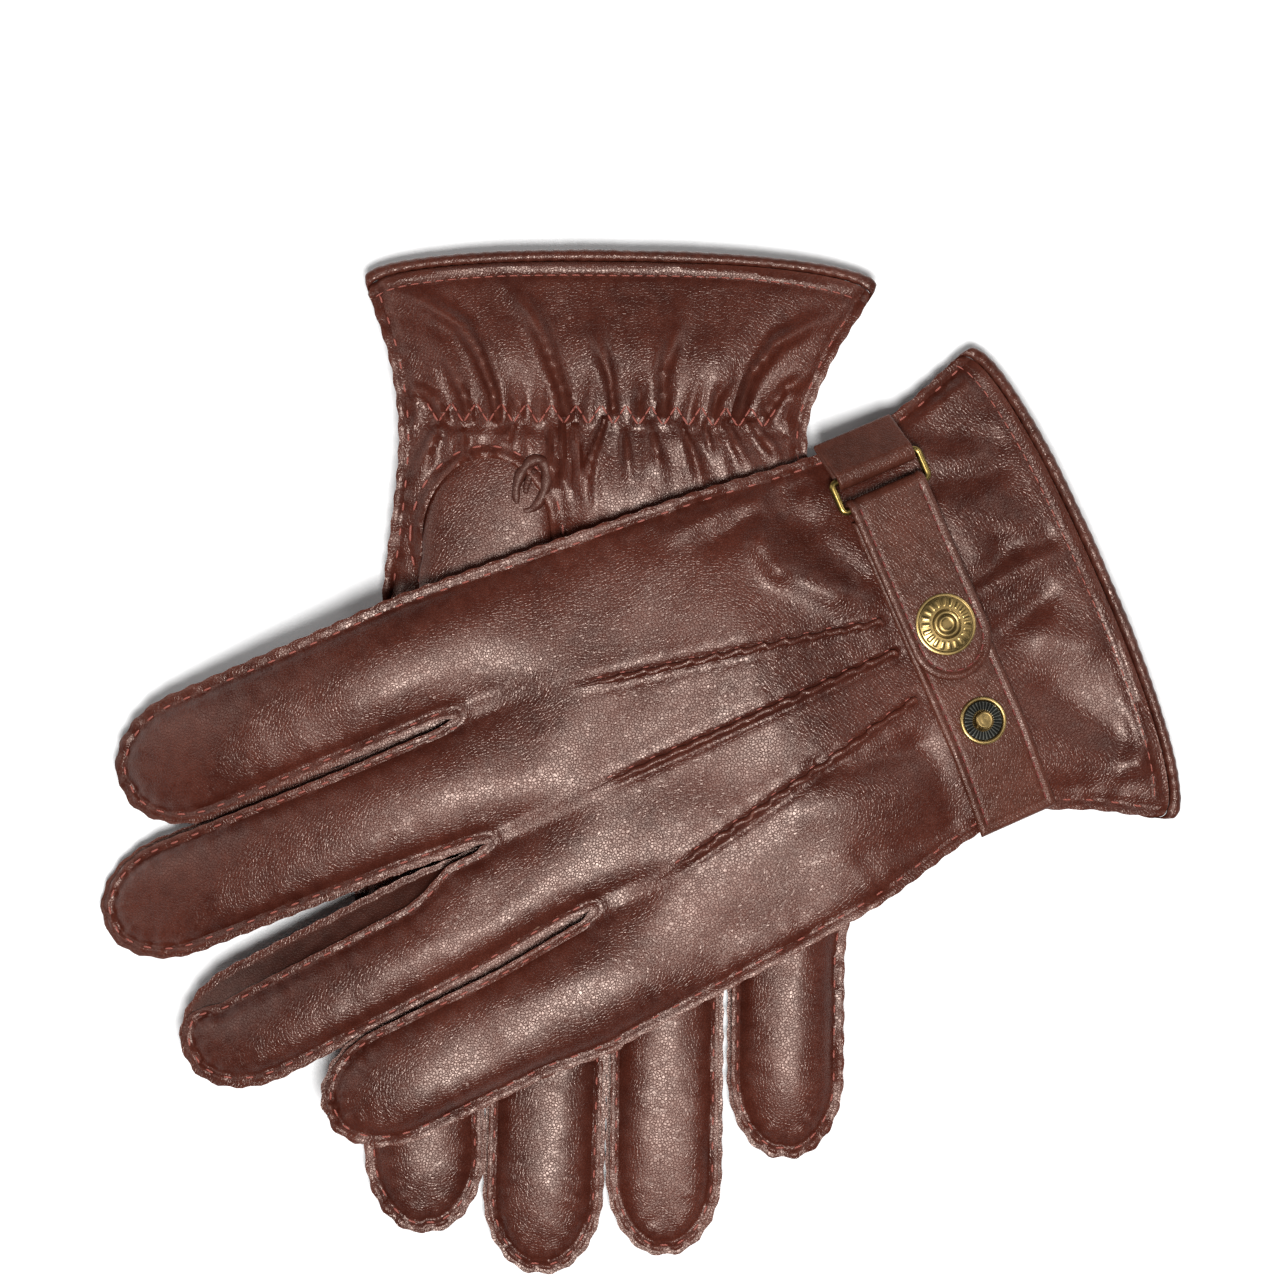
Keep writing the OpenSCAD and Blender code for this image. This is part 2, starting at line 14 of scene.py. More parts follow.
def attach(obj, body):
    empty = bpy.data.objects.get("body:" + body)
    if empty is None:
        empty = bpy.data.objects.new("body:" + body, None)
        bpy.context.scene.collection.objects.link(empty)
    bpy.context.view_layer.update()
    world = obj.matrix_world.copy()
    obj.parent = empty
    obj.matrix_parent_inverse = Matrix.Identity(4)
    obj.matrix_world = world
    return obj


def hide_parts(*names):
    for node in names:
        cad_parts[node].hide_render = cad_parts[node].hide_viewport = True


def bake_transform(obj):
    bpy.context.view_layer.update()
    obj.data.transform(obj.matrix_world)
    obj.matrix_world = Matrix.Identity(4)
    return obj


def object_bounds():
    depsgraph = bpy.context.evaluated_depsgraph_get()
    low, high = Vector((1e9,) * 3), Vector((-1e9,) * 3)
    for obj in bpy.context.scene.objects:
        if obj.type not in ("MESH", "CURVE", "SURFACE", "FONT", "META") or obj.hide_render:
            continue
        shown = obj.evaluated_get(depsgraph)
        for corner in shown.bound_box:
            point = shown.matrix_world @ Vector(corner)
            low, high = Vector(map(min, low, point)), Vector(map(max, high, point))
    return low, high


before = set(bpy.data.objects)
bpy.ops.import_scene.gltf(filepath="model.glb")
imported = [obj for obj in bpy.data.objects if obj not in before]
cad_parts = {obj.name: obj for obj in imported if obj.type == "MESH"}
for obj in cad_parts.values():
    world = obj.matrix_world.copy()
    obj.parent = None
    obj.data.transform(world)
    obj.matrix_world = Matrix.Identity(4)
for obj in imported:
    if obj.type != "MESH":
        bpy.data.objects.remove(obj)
cad_box = [list(corner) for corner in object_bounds()]

# ---- the pattern ---------------------------------------------------------------------------

LEFT, RIGHT = 1, -1
BACK, PALM = 1, -1
NAMES = {LEFT: "left", RIGHT: "right"}
AT = {LEFT: (102.3, 42.6), RIGHT: (-5.0, 114.6)}
TURN = {LEFT: math.radians(113.4), RIGHT: math.radians(179)}
BOW = {LEFT: 11.0, RIGHT: 9.0}
THUMB_SIDE = np.array([[0, 61.5], [20, 54.8], [40, 52.6], [75, 56], [148, 61.4]])
LITTLE_SIDE = np.array([[0, -61.5], [18, -51], [36, -45.6], [75, -52.8], [148, -59.2]])
FORKS = np.array([[61.4, 148], [29.2, 147.2], [-1.3, 152.2], [-26.3, 135.6], [-59.2, 141]])
TIPS = {
    LEFT: np.array([[45.8, 228.4, 31.5], [17, 245.3, 29], [-20.3, 239.5, 29.5], [-46.4, 213.5, 29]]),
    RIGHT: np.array([[43, 229, 29], [15, 238.5, 29], [-14.5, 233.5, 28], [-43.5, 209.5, 28]]),
}
TIP_ROUND = 20.0
TIP_BLUNT = 0.2
FLANGE = 0.075
CROWN = 5.5
EDGE_OUT = 1.05
LEATHER = 1.0
LINING = 0.8
GAP = 0.3
HOLE = np.array([31.0, 61.0])
HOLE_R = np.array([15.5, 19.0])
THUMB_TURN = {LEFT: math.radians(55), RIGHT: math.radians(-6)}
THUMB_LEN, THUMB_W = 72.0, 29.0

CUFF_ROLL_R = 1.45
STRAP_Y, STRAP_W, STRAP_T = 33.3, 20.6, 1.2
WIRE_R, BAR_GAP = 0.9, 0.25
STRAP_BAR_X, TAB_BAR_X = 37.0, 44.5
STRAP_Z = CROWN + GAP
BAR_Z = STRAP_Z + STRAP_T + BAR_GAP + WIRE_R
FLAP_Z = BAR_Z + WIRE_R + BAR_GAP
CAP_X, STUD_X = 3.0, -21.8
CAP_R, CAP_H = 7.5, 1.8
CAP_Z = FLAP_Z + STRAP_T
WRAP_R = WIRE_R + BAR_GAP + STRAP_T
LEFT_LOW, LEFT_HIGH, RAMP_END = 6.0, 24.6, 72.0
RIGHT_LOW, RIGHT_HIGH, TIP_LOW = 6.6, CAP_Z + CAP_H, 6.0

LOW_EDGE_IN = 3.0  # the seams between the fingers sink below the fingers' crowns
SEAM = 2.3  # stitch line to the cut edge
PITCH = 5.6  # one prick stitch to the next
OUTLINE_STEP = 0.5  # between two points of a panel's stitched edge
FIRST_ROW = 0.019  # share of the hand's length where a panel starts, inside the cuff's roll
POINT_RUN = 74  # about the length of a raised point
ELASTIC_Y = (28.6, 33.4)  # the zigzag row's two sides
THREAD_LIFT = 0.02  # the strap's stitches over its leather
MACHINE_PITCH, MACHINE_STITCH = 2.7, 1.75  # the strap's stitches: spacing and length
STITCH_INSET = 2.25  # the strap's stitches from its edge
POINT_LINES = [((9.6, 44.5), (25, 121)), ((1.55, 44.5), (0.3, 125)), ((-10.8, 44.5), (-26, 119))]


def mix(a, b, t):
    return a + (b - a) * t


def clamp01(x):
    return np.clip(x, 0, 1)


def smooth(x):
    c = clamp01(x)
    return c * c * (3 - 2 * c)


def soft(x, r):
    return np.where(x <= -r, 0, np.where(x >= r, x, (x + r) ** 2 / (4 * r)))


def rise(y, a, b, r):
    return (soft(y - a, r) - soft(y - b, r)) / (b - a)


def bell(x, centre, width):
    return np.exp(-(((x - centre) / width) ** 2))


def run_along(p):
    """Distance along a polyline at each of its points."""
    return np.concatenate([[0], np.cumsum(np.linalg.norm(np.diff(p, axis=0), axis=1))])


def line_frame(start, end):
    """A straight line's start, length, direction and the direction to its right."""
    start, end = np.array(start), np.array(end)
    length = np.linalg.norm(end - start)
    along = (end - start) / length
    return start, length, along, np.array([along[1], -along[0]])


def curve(p, y):
    """Smooth curve through the points [y, x], straight beyond its ends."""
    y = np.asarray(y, float)
    last = len(p) - 1
    slopes = np.array([(p[min(i + 1, last)][1] - p[max(i - 1, 0)][1])
                       / (p[min(i + 1, last)][0] - p[max(i - 1, 0)][0]) for i in range(last + 1)])
    i = np.clip(np.searchsorted(p[:, 0], y, side="right") - 1, 0, last - 1)
    h = p[i + 1, 0] - p[i, 0]
    t = clamp01((y - p[i, 0]) / h)
    x = ((2 * t**3 - 3 * t * t + 1) * p[i, 1] + (t**3 - 2 * t * t + t) * h * slopes[i]
         + (3 * t * t - 2 * t**3) * p[i + 1, 1] + (t**3 - t * t) * h * slopes[i + 1])
    return x + np.minimum(y - p[0, 0], 0) * slopes[0] + np.maximum(y - p[last, 0], 0) * slopes[last]


def middle(g, x, y):
    """Height of a glove's middle surface over the table."""
    if g == LEFT:
        droop = (17 + 0.22 * x) * (np.maximum(y - 150, 0) / 95) ** 2
        return LEFT_LOW + (LEFT_HIGH - LEFT_LOW) * rise(y, 0, RAMP_END, 10) - droop
    lift = rise(y, -7, 16, 4) - rise(y, 53, 73, 6)
    return RIGHT_LOW + (RIGHT_HIGH - RIGHT_LOW) * lift - (RIGHT_LOW - TIP_LOW) * smooth((y - 150) / 60)


def hand_bulge(f):
    return 1 - np.minimum(np.abs(2 * f - 1) / 0.96, 1) ** 3.5


def finger_bulge(t):
    return 1 - np.minimum(np.abs(2 * t - 1) / (1 - 2 * FLANGE), 1) ** 2.4


def finger_edge(edges, k, t, s):
    inner = mix(edges[1], edges[0], smooth((s - 0.6) / 0.35))
    return mix(np.where(k == 0, edges[0], inner), np.where(k == 3, edges[0], inner), t)


def finger_height(edges, top, k, t, s):
    end = 1 - clamp01((s - 0.55) / 0.42) ** 2.4
    return mix(finger_edge(edges, k, t, s), top, finger_bulge(t) * end)


def hand_height(edges, top, k, t, f, v):
    return mix(mix(edges[0], top, hand_bulge(f)), finger_height(edges, top, k, t, 0.0),
               smooth((v - 0.8) / 0.2))


def hand_point(g, k, t, v, inset=0.0, drop=0.0):
    f0 = (k + t) / 4
    base_x = mix(FORKS[k, 0], FORKS[k + 1, 0], t)
    base_y = mix(FORKS[k, 1], FORKS[k + 1, 1], t) - drop
    cuff = -BOW[g] * np.maximum(1 - (2 * f0 - 1) ** 2, 0) ** 0.4
    y = mix(cuff, base_y, v)
    fork_share = (FORKS[0, 0] - base_x) / (FORKS[0, 0] - FORKS[4, 0])
    f = mix(f0, fork_share, v)
    return mix(curve(THUMB_SIDE, y) - inset, curve(LITTLE_SIDE, y) + inset, f), y, f


def rolled(g, side, k, t, s):
    """The left ring finger's back is rolled aside, so that its fourchette shows."""
    if (g, side, k) != (LEFT, BACK, 2):
        return t
    return t + (1 - t) * 0.19 * smooth((s - 0.1) / 0.25) * (1 - smooth((s - 0.84) / 0.14))


def finger_point(g, k, t, s, inset=(0, 0, 0), drop=0.0, skew=0.35):
    """Point(s) of finger k as x and y: share t across it, share s of the way to its tip."""
    tip = TIPS[g][k]
    fork_a, fork_b = FORKS[k].copy(), FORKS[k + 1].copy()
    root = (fork_a + fork_b) / 2 - [0, drop]
    fork_a -= [inset[0] if k == 0 else 0, drop]
    fork_b -= [-inset[0] if k == 3 else 0, drop]
    run = np.array([tip[0], tip[1] - inset[2]]) - root
    length = np.linalg.norm(run)
    side = np.array([run[1], -run[0]]) / length
    shoulder = 1 - TIP_ROUND / length
    u = clamp01((s - shoulder) / (1 - shoulder))
    q = smooth(s / skew)
    r = np.sqrt(1 - (1 - TIP_BLUNT**2) * u * u)
    across = (tip[2] / 2 - inset[1]) * (1 - 2 * t)
    out = []
    for axis in (0, 1):
        start = mix(fork_a[axis], fork_b[axis], t) - root[axis]
        out.append(root[axis] + run[axis] * s + mix(start, side[axis] * across, q) * r)
    return out


def over_hand(g, side, x, y, lift):
    near, far = curve(THUMB_SIDE, y), curve(LITTLE_SIDE, y)
    h = mix(EDGE_OUT, CROWN, hand_bulge((near - x) / (near - far)))
    return np.stack([x, y, side * (h + lift) + g * middle(g, x, y)], -1)


def place(g, points):
    """Millimetres in a glove's own frame to metres in the shared frame."""
    p = np.asarray(points, float)
    c, s = math.cos(TURN[g]), math.sin(TURN[g])
    return np.stack([AT[g][0] + c * p[..., 0] - s * p[..., 1], AT[g][1] + s * p[..., 0] + c * p[..., 1],
                     g * p[..., 2]], -1) * 0.001


WRIST_TILT = math.atan((LEFT_HIGH - LEFT_LOW) / RAMP_END)


def at_wrist(g, points):
    """Millimetres in the wrist frame to metres in the shared frame."""
    p = np.asarray(points, float)
    tilt = WRIST_TILT if g == LEFT else 0
    c, s = math.cos(tilt), math.sin(tilt)
    y = c * p[..., 1] - s * p[..., 2] + STRAP_Y
    z = s * p[..., 1] + c * p[..., 2] + g * float(middle(g, 0.0, STRAP_Y))
    return place(g, np.stack([p[..., 0], y, z], -1))


def wobble(x, y, size, seed):
    """Smooth, repeatable unevenness of about unit height, with waves about `size` long."""
    rng = np.random.RandomState(seed)
    total = 0
    for _ in range(9):
        a, phase = rng.rand() * math.tau, rng.rand() * math.tau
        k = math.tau / size * (0.6 + 0.8 * rng.rand())
        total = total + np.sin(k * (x * math.cos(a) + y * math.sin(a)) + phase)
    return total / 3


# ---- mesh and object helpers ---------------------------------------------------------------

def make(name, verts, faces, material, body, replaces=(), sharp=50, recalc=True):
    """One finished piece from points in metres: shaded, painted and riding on its body."""
    mesh = bpy.data.meshes.new(name)
    mesh.from_pydata(np.asarray(verts).tolist(), [], [list(f) for f in faces])
    if recalc:
        bm = bmesh.new()
        bm.from_mesh(mesh)
        loose = [v for v in bm.verts if not v.link_faces]
        bmesh.ops.delete(bm, geom=loose, context="VERTS")
        bmesh.ops.recalc_face_normals(bm, faces=bm.faces)
        bm.to_mesh(mesh)
        bm.free()
    mesh.polygons.foreach_set("use_smooth", [True] * len(mesh.polygons))
    mesh.set_sharp_from_angle(angle=math.radians(sharp))
    mesh.materials.append(material)
    mesh.update()
    piece = bpy.data.objects.new(name, mesh)
    bpy.context.scene.collection.objects.link(piece)
    if body:
        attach(piece, body)
    if replaces:
        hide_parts(*replaces)
    return piece


def grid_quads(ids):
    a, b, c, d = ids[:-1, :-1], ids[:-1, 1:], ids[1:, 1:], ids[1:, :-1]
    return np.stack([a, b, c, d], -1).reshape(-1, 4)


def shell(outer, inner, quads):
    """Closes two matching surfaces with a wall along every open edge."""
    n = len(outer)
    edges = np.concatenate([quads[:, [i, (i + 1) % 4]] for i in range(4)])
    keys = np.sort(edges, 1)
    keys = keys[:, 0].astype(np.int64) * n + keys[:, 1]
    _, first, count = np.unique(keys, return_index=True, return_counts=True)
    rim = edges[first[count == 1]]
    walls = np.stack([rim[:, 1], rim[:, 0], rim[:, 0] + n, rim[:, 1] + n], -1)
    faces = np.concatenate([quads, quads[:, ::-1] + n, walls])
    return np.concatenate([outer, inner]), faces


def slab_between(top, bottom):
    """A closed piece between two grids of points, rows by columns."""
    ids = np.arange(top.shape[0] * top.shape[1]).reshape(top.shape[:2])
    return shell(top.reshape(-1, 3), bottom.reshape(-1, 3), grid_quads(ids))


def tube_faces(base, steps, ring):
    """Faces of a tube whose rings of points follow each other from `base` on, and its two caps."""
    faces = []
    for i in range(steps):
        for j in range(ring):
            a, b = base + i * ring + j, base + i * ring + (j + 1) % ring
            faces.append((a, b, b + ring, a + ring))
    return faces + [tuple(base + i * ring + j for j in range(ring)) for i in (0, steps)]


class Threads:
    """Short stitches gathered into one piece."""

    SIDES = 7
    RINGS = ((0, 0.35), (0.1, 0.8), (0.32, 1), (0.68, 1), (0.9, 0.8), (1, 0.35))

    def __init__(self):
        self.verts, self.faces = [], []

    def add(self, start, end, up, radius=0.27, rise_by=0.1):
        start, end, up = (np.asarray(v, float) for v in (start, end, up))
        along = end - start
        length = np.linalg.norm(along)
        if length < 2e-4:
            return
        along /= length
        up = up - along * up.dot(along)
        up /= max(np.linalg.norm(up), 1e-9)
        wide = np.cross(along, up)
        base = len(self.verts)
        for share, size in self.RINGS:
            centre = start + along * length * share + up * (rise_by * 4 * share * (1 - share)) * 0.001
            for q in range(self.SIDES):
                w = math.tau * q / self.SIDES
                ring = (wide * math.cos(w) + up * math.sin(w)) * radius * size * 0.001
                self.verts.append(centre + ring)
        faces = tube_faces(base, len(self.RINGS) - 1, self.SIDES)
        faces[-2] = faces[-2][::-1]
        self.faces += faces


# ---- materials -----------------------------------------------------------------------------

def srgb(r, g, b):
    def linear(c):
        c /= 255
        return c / 12.92 if c <= 0.04045 else ((c + 0.055) / 1.055) ** 2.4
    return (linear(r), linear(g), linear(b), 1)


class Nodes:
    """A node material that is built a line at a time."""

    def __init__(self, name):
        self.material = bpy.data.materials.new(name)
        self.material.use_nodes = True
        self.tree = self.material.node_tree
        self.bsdf = self.tree.nodes["Principled BSDF"]
        self.coords = self.tree.nodes.new("ShaderNodeTexCoord").outputs["Object"]

    def put(self, target, value):
        if isinstance(value, bpy.types.NodeSocket):
            self.tree.links.new(value, target)
        else:
            target.default_value = value

    def new(self, kind, props=(), **inputs):
        node = self.tree.nodes.new(kind)
        for key, value in dict(props).items():
            setattr(node, key, value)
        for key, value in inputs.items():
            numbered = key[0] == "i" and key[1:].isdigit()
            self.put(node.inputs[int(key[1:]) if numbered else key.replace("_", " ")], value)
        return node

    def scaled(self, x):
        return self.new("ShaderNodeMapping", i1=(0, 0, 0), i3=(x, x, x), i0=self.coords).outputs[0]

    def noise(self, size, detail=3.0, rough=0.5):
        """Noise with features about `size` millimetres across."""
        return self.new("ShaderNodeTexNoise", Vector=self.scaled(1000 / size), Scale=1.0, Detail=detail,
                        Roughness=rough).outputs["Fac"]

    def cells(self, size, feature="DISTANCE_TO_EDGE"):
        return self.new("ShaderNodeTexVoronoi", {"feature": feature}, Vector=self.scaled(1000 / size),
                        Scale=1.0).outputs["Distance"]

    def math(self, op, a, b):
        return self.new("ShaderNodeMath", {"operation": op}, i0=a, i1=b).outputs[0]

    def times(self, a, b):
        return self.math("MULTIPLY", a, b)

    def plus(self, a, b):
        return self.math("ADD", a, b)

    def ramp(self, value, low, high, out_low=0.0, out_high=1.0):
        return self.new("ShaderNodeMapRange", {"interpolation_type": "SMOOTHSTEP"}, i0=value,
                        i1=low, i2=high, i3=out_low, i4=out_high).outputs[0]

    def blend(self, share, a, b):
        node = self.tree.nodes.new("ShaderNodeMix")
        node.data_type = "RGBA"
        self.put(node.inputs[0], share)
        self.put(node.inputs[6], a)
        self.put(node.inputs[7], b)
        return node.outputs[2]

    def bump(self, height, distance, strength=1.0, under=None):
        node = self.new("ShaderNodeBump", Height=height, Distance=distance, Strength=strength)
        if under is not None:
            self.put(node.inputs["Normal"], under)
        return node.outputs[0]

    def finish(self, **inputs):
        for key, value in inputs.items():
            self.put(self.bsdf.inputs[key.replace("_", " ")], value)
        return self.material


def leather_material(name, dark, mid, light, rough=0.34, grain=0.72):
    """Nappa: pebbled grain with dark creases, cloudy dye and slightly worn ridges."""
    n = Nodes(name)
    pebbles = n.ramp(n.cells(grain), 0.0, 0.2)
    fine = n.noise(0.3, 2.0)
    pores = n.ramp(n.noise(2.2, 3.0, 0.6), 0.35, 0.7)
    cloud = n.ramp(n.noise(30, 3.0), 0.3, 0.7)
    mottle = n.ramp(n.noise(3.4, 4.0, 0.6), 0.32, 0.68)
    worn = n.ramp(n.new("ShaderNodeNewGeometry").outputs["Pointiness"], 0.5, 0.62)
    colour = n.blend(n.times(cloud, 0.8), dark, mid)
    colour = n.blend(n.times(mottle, 0.22), colour, light)
    colour = n.blend(n.times(n.math("SUBTRACT", 1.0, pebbles), 0.55), colour, dark)
    colour = n.blend(n.times(worn, 0.4), colour, light)
    surface = n.plus(pebbles, n.plus(n.times(fine, 0.22), n.times(pores, 0.2)))
    gloss = n.plus(n.times(pores, -0.08), n.plus(n.times(cloud, 0.05), rough))
    return n.finish(Base_Color=colour, Roughness=gloss, Normal=n.bump(surface, 0.000065, 0.55),
                    Specular_IOR_Level=0.52, Specular_Tint=(1.0, 0.78, 0.68, 1.0))


def brass_material(name, bright, dull, rough, wells=()):
    """Brushed antique brass; `wells` are the middles of studs that have a blackened well."""
    n = Nodes(name)
    patina = n.ramp(n.noise(2.6, 4.0, 0.6), 0.35, 0.7)
    crevice = n.ramp(n.new("ShaderNodeNewGeometry").outputs["Pointiness"], 0.44, 0.53)
    brushed = n.noise(0.16, 2.0)
    colour = n.blend(n.times(patina, 0.5), bright, dull)
    colour = n.blend(crevice, srgb(52, 38, 18), colour)
    for middle_of_stud in wells:
        away = n.new("ShaderNodeVectorMath", {"operation": "DISTANCE"}, i0=n.coords,
                     i1=tuple(middle_of_stud)).outputs["Value"]
        ring = n.times(n.ramp(away, 0.0024, 0.0028), n.ramp(away, 0.0046, 0.0049, 1.0, 0.0))
        colour = n.blend(ring, colour, n.blend(crevice, srgb(14, 14, 13), srgb(92, 92, 86)))
    gloss = n.plus(n.times(patina, 0.16), rough)
    return n.finish(Base_Color=colour, Roughness=gloss, Metallic=1.0,
                    Normal=n.bump(brushed, 0.00004, 0.3))


def fabric_material(name, base, light, size):
    n = Nodes(name)
    rib = n.new("ShaderNodeTexWave", {"wave_profile": "SIN", "bands_direction": "DIAGONAL"},
                Vector=n.scaled(1000 / size), Scale=0.5, Distortion=0.8, Detail=1.0).outputs["Fac"]
    loops = n.cells(size * 0.8, "F1")
    height = n.plus(n.times(rib, 0.6), n.times(loops, 0.6))
    colour = n.blend(n.times(height, 0.8), base, light)
    return n.finish(Base_Color=colour, Roughness=0.92, Normal=n.bump(height, 0.0003, 0.7),
                    Sheen_Weight=0.25, Sheen_Roughness=0.5)


def thread_material(name, base, light):
    n = Nodes(name)
    twist = n.new("ShaderNodeTexWave", {"wave_profile": "SIN", "bands_direction": "DIAGONAL"},
                  Vector=n.scaled(1000 / 0.5), Scale=0.5, Distortion=1.0).outputs["Fac"]
    return n.finish(Base_Color=n.blend(twist, base, light), Roughness=0.62,
                    Normal=n.bump(twist, 0.00005, 0.5))


LEATHER_MAT = leather_material("glove_leather", srgb(50, 17, 10), srgb(75, 30, 19), srgb(106, 56, 43))
# A darker copy of the glove leather, for the fourchettes between the fingers and the thumb seam's curled
# loops: its darkness is painted shade.
SHADED_LEATHER_MAT = leather_material("darker_leather_painted_shade", srgb(44, 18, 12), srgb(66, 29, 20),
                             srgb(92, 50, 40), 0.44)
STRAP_MAT = leather_material("strap_leather", srgb(56, 24, 15), srgb(82, 38, 26),
                             srgb(114, 66, 53), 0.36, 0.65)
CORD_MAT = leather_material("binding_leather", srgb(50, 20, 13), srgb(78, 33, 23), srgb(114, 64, 50), 0.34)
LINING_MAT = fabric_material("knitted_lining", srgb(70, 45, 34), srgb(120, 86, 68), 1.1)
ELASTIC_MAT = fabric_material("elastic_band", srgb(150, 142, 128), srgb(205, 198, 184), 0.9)
THREAD_MAT = thread_material("seam_thread", srgb(112, 50, 41), srgb(164, 92, 78))
DARK_THREAD_MAT = thread_material("strap_thread", srgb(88, 28, 23), srgb(126, 54, 46))
BRASS_MAT = brass_material("antique_brass", srgb(186, 158, 104), srgb(120, 96, 52), 0.32)
WIRE_MAT = brass_material("ring_brass", srgb(150, 128, 74), srgb(92, 76, 38), 0.26)

# ---- folds and seams of the leather --------------------------------------------------------

# Soft folds, from one plan point to another: x, y, x, y, half width, height
BACK_FOLDS = {
    LEFT: [(56, 13, 55, 3, 3.2, 1.0), (33, -5, 20, -7, 3.0, 0.7), (26, 11, 14, 4, 4.5, 1.1),
           (15, 11, 12, 0, 3.2, -1.2), (7, 22, 8, 2, 3.2, 1.2), (9, 21, 12, 12, 2.4, -0.8),
           (-9, 9, -15, 1, 4.2, 1.0), (-4, 19, -1, 6, 3.2, -1.2), (-37, -4, -46, 0, 3.2, 0.9),
           (-46, 0, -48, 10, 3.0, 0.8), (-23, 13, -40, 1, 5.0, -1.3), (35, 61, 18, 48, 6.0, 1.2),
           (40, 55, 21, 45, 3.2, -1.2), (-22, 47, -42, 47, 4.2, -1.2), (-24, 80, -32, 52, 6.5, 1.0),
           (47, 60, 39, 64, 3.0, 1.0), (39, 64, 31, 62, 3.0, 1.2), (31, 62, 20, 52, 3.6, 1.2),
           (49, 82, 48, 61, 2.6, 0.9), (43, 54, 38, 50, 4.0, -1.2), (52, 20, 53, 5, 3.0, 1.0),
           (30, 19, 16, 15, 4.5, 1.1), (44, 14, 38, 2, 4.0, -0.9),
           (-46, 21, -49, 5, 3.2, -0.9), (44, 21, 38, 8, 3.6, 0.9), (35, 18, 32, 4, 3.0, -0.9),
           (-17, 72, -21, 50, 3.0, -0.9), (44, 74, 48, 50, 3.6, -0.8), (-40, 70, -44, 50, 3.0, -0.7)],
    RIGHT: [(20, 18, 16, 2, 4, 0.8), (-20, 18, -26, 2, 4, 0.8), (0, 16, -2, 2, 4, -0.8),
            (34, 62, 20, 48, 5, 0.8), (-24, 78, -32, 52, 6, 0.8)],
}


def from_segment(x, y, x0, y0, x1, y1):
    """Distance to a straight line's nearest point, and how far along it that is, 0 to 1."""
    dx, dy = x1 - x0, y1 - y0
    share = clamp01(((x - x0) * dx + (y - y0) * dy) / (dx * dx + dy * dy))
    return np.hypot(x - x0 - dx * share, y - y0 - dy * share), share


def outline(g, side):
    """The stitched edge of a panel: evenly spaced points, the distance along it, the outward
    normals and the finger that each point belongs to."""
    pts, owner = [], []
    v, up = np.linspace(0, 1, 300), np.linspace(0, 1, 400)

    def extend(x, y, finger):
        pts.append(np.stack([x, y], 1))
        owner.extend([finger] * len(x))

    extend(*hand_point(g, np.zeros(len(v), int), 0.0, v)[:2], 0)
    for k in range(4):
        extend(*finger_point(g, k, rolled(g, side, k, 0.0, up), up), k)
        extend(*finger_point(g, k, np.linspace(0, 1, 12), 1.0), k)
        extend(*finger_point(g, k, 1.0, up[::-1]), k)
    extend(*hand_point(g, np.full(len(v), 3), 1.0, v[::-1])[:2], 3)
    p = np.concatenate(pts)
    run = run_along(p)
    even = np.arange(0, run[-1], OUTLINE_STEP)
    owner = np.array(owner)[np.searchsorted(run, even, side="right")]
    p = np.stack([np.interp(even, run, p[:, 0]), np.interp(even, run, p[:, 1])], 1)
    tangent = np.gradient(p, axis=0)
    for _ in range(2):
        tangent[1:-1] = (tangent[:-2] + 2 * tangent[1:-1] + tangent[2:]) / 4
    tangent /= np.maximum(np.linalg.norm(tangent, axis=1), 1e-9)[:, None]
    return p, even, np.stack([tangent[:, 1], -tangent[:, 0]], 1), owner


# Pleats that run out of the elastic on the right palm: half width, height, and the ridge's line
PALM_PLEATS = [
    (1.5, 1.0, (35, 32), (37, 27), (40, 20), (43, 15)),
    (2.0, 1.5, (29, 32), (30, 26), (34, 16), (38, 10), (46, 5), (56, 1)),
    (1.2, 0.8, (23, 32), (24, 26)),
    (2.2, 1.6, (12, 31), (14, 24), (18, 13), (21, 7), (28, -1)),
    (1.7, 1.1, (1, 30), (2, 22), (5, 13), (6, 9)),
    (1.2, 0.7, (-5, 30), (-5, 23)),
    (1.5, 1.0, (41, 33), (44, 28), (47, 26), (53, 26)),
    (2.0, 1.3, (-11, 30), (-11, 20), (-13, 13), (-15, 6)),
    (1.3, 0.8, (-23, 30), (-24, 26), (-27, 22)),
    (2.1, 1.6, (-29, 31), (-32, 21), (-38, 13), (-47, 8), (-54, 6)),
    (1.5, 1.0, (-36, 30), (-40, 24), (-47, 20)),
    (2.0, 1.0, (43, 35), (46, 41), (49, 48)),
    (2.0, 1.1, (37, 36), (37, 42), (42, 51)),
    (1.4, 0.9, (25, 34), (27, 39)),
    (1.1, 1.1, (16, 33), (16, 40), (14, 56)),
    (1.1, 1.0, (13.4, 33), (13.4, 40), (11, 56)),
    (1.3, 1.1, (3, 32), (6, 41), (7, 46), (7, 57)),
    (1.3, 0.9, (10, 34), (9, 44), (9, 56)),
    (1.3, 0.8, (-2, 35), (-3, 45)),
    (1.5, 1.0, (-8, 33), (-11, 46)),
    (1.5, 1.1, (-15, 33), (-18, 39), (-20, 47)),
    (1.3, 0.8, (-21, 33), (-23, 41)),
    (1.5, 1.1, (-26, 32), (-29, 38), (-32, 44)),
    (1.5, 1.0, (-32, 32), (-35, 36), (-40, 41)),
]


def along_line(x, y, points, width, height):
    """A ridge that starts narrow at the first point and broadens and fades towards the last."""
    points = np.array(points, float)
    lengths = np.linalg.norm(np.diff(points, axis=0), axis=1)
    best, share = np.full(np.shape(x), 1e9), np.zeros(np.shape(x))
    run = 0.0
    for (x0, y0), (x1, y1), length in zip(points[:-1], points[1:], lengths):
        dist, part = from_segment(x, y, x0, y0, x1, y1)
        closer = dist < best
        best = np.where(closer, dist, best)
        share = np.where(closer, (run + part * length) / lengths.sum(), share)
        run += length
    broad = width * (0.55 + 0.95 * share)
    fade = 1 - 0.85 * smooth((share - 0.45) / 0.55)
    return height * fade * (bell(best, 0, broad) - 0.28 * bell(best, 0, 2.3 * broad))


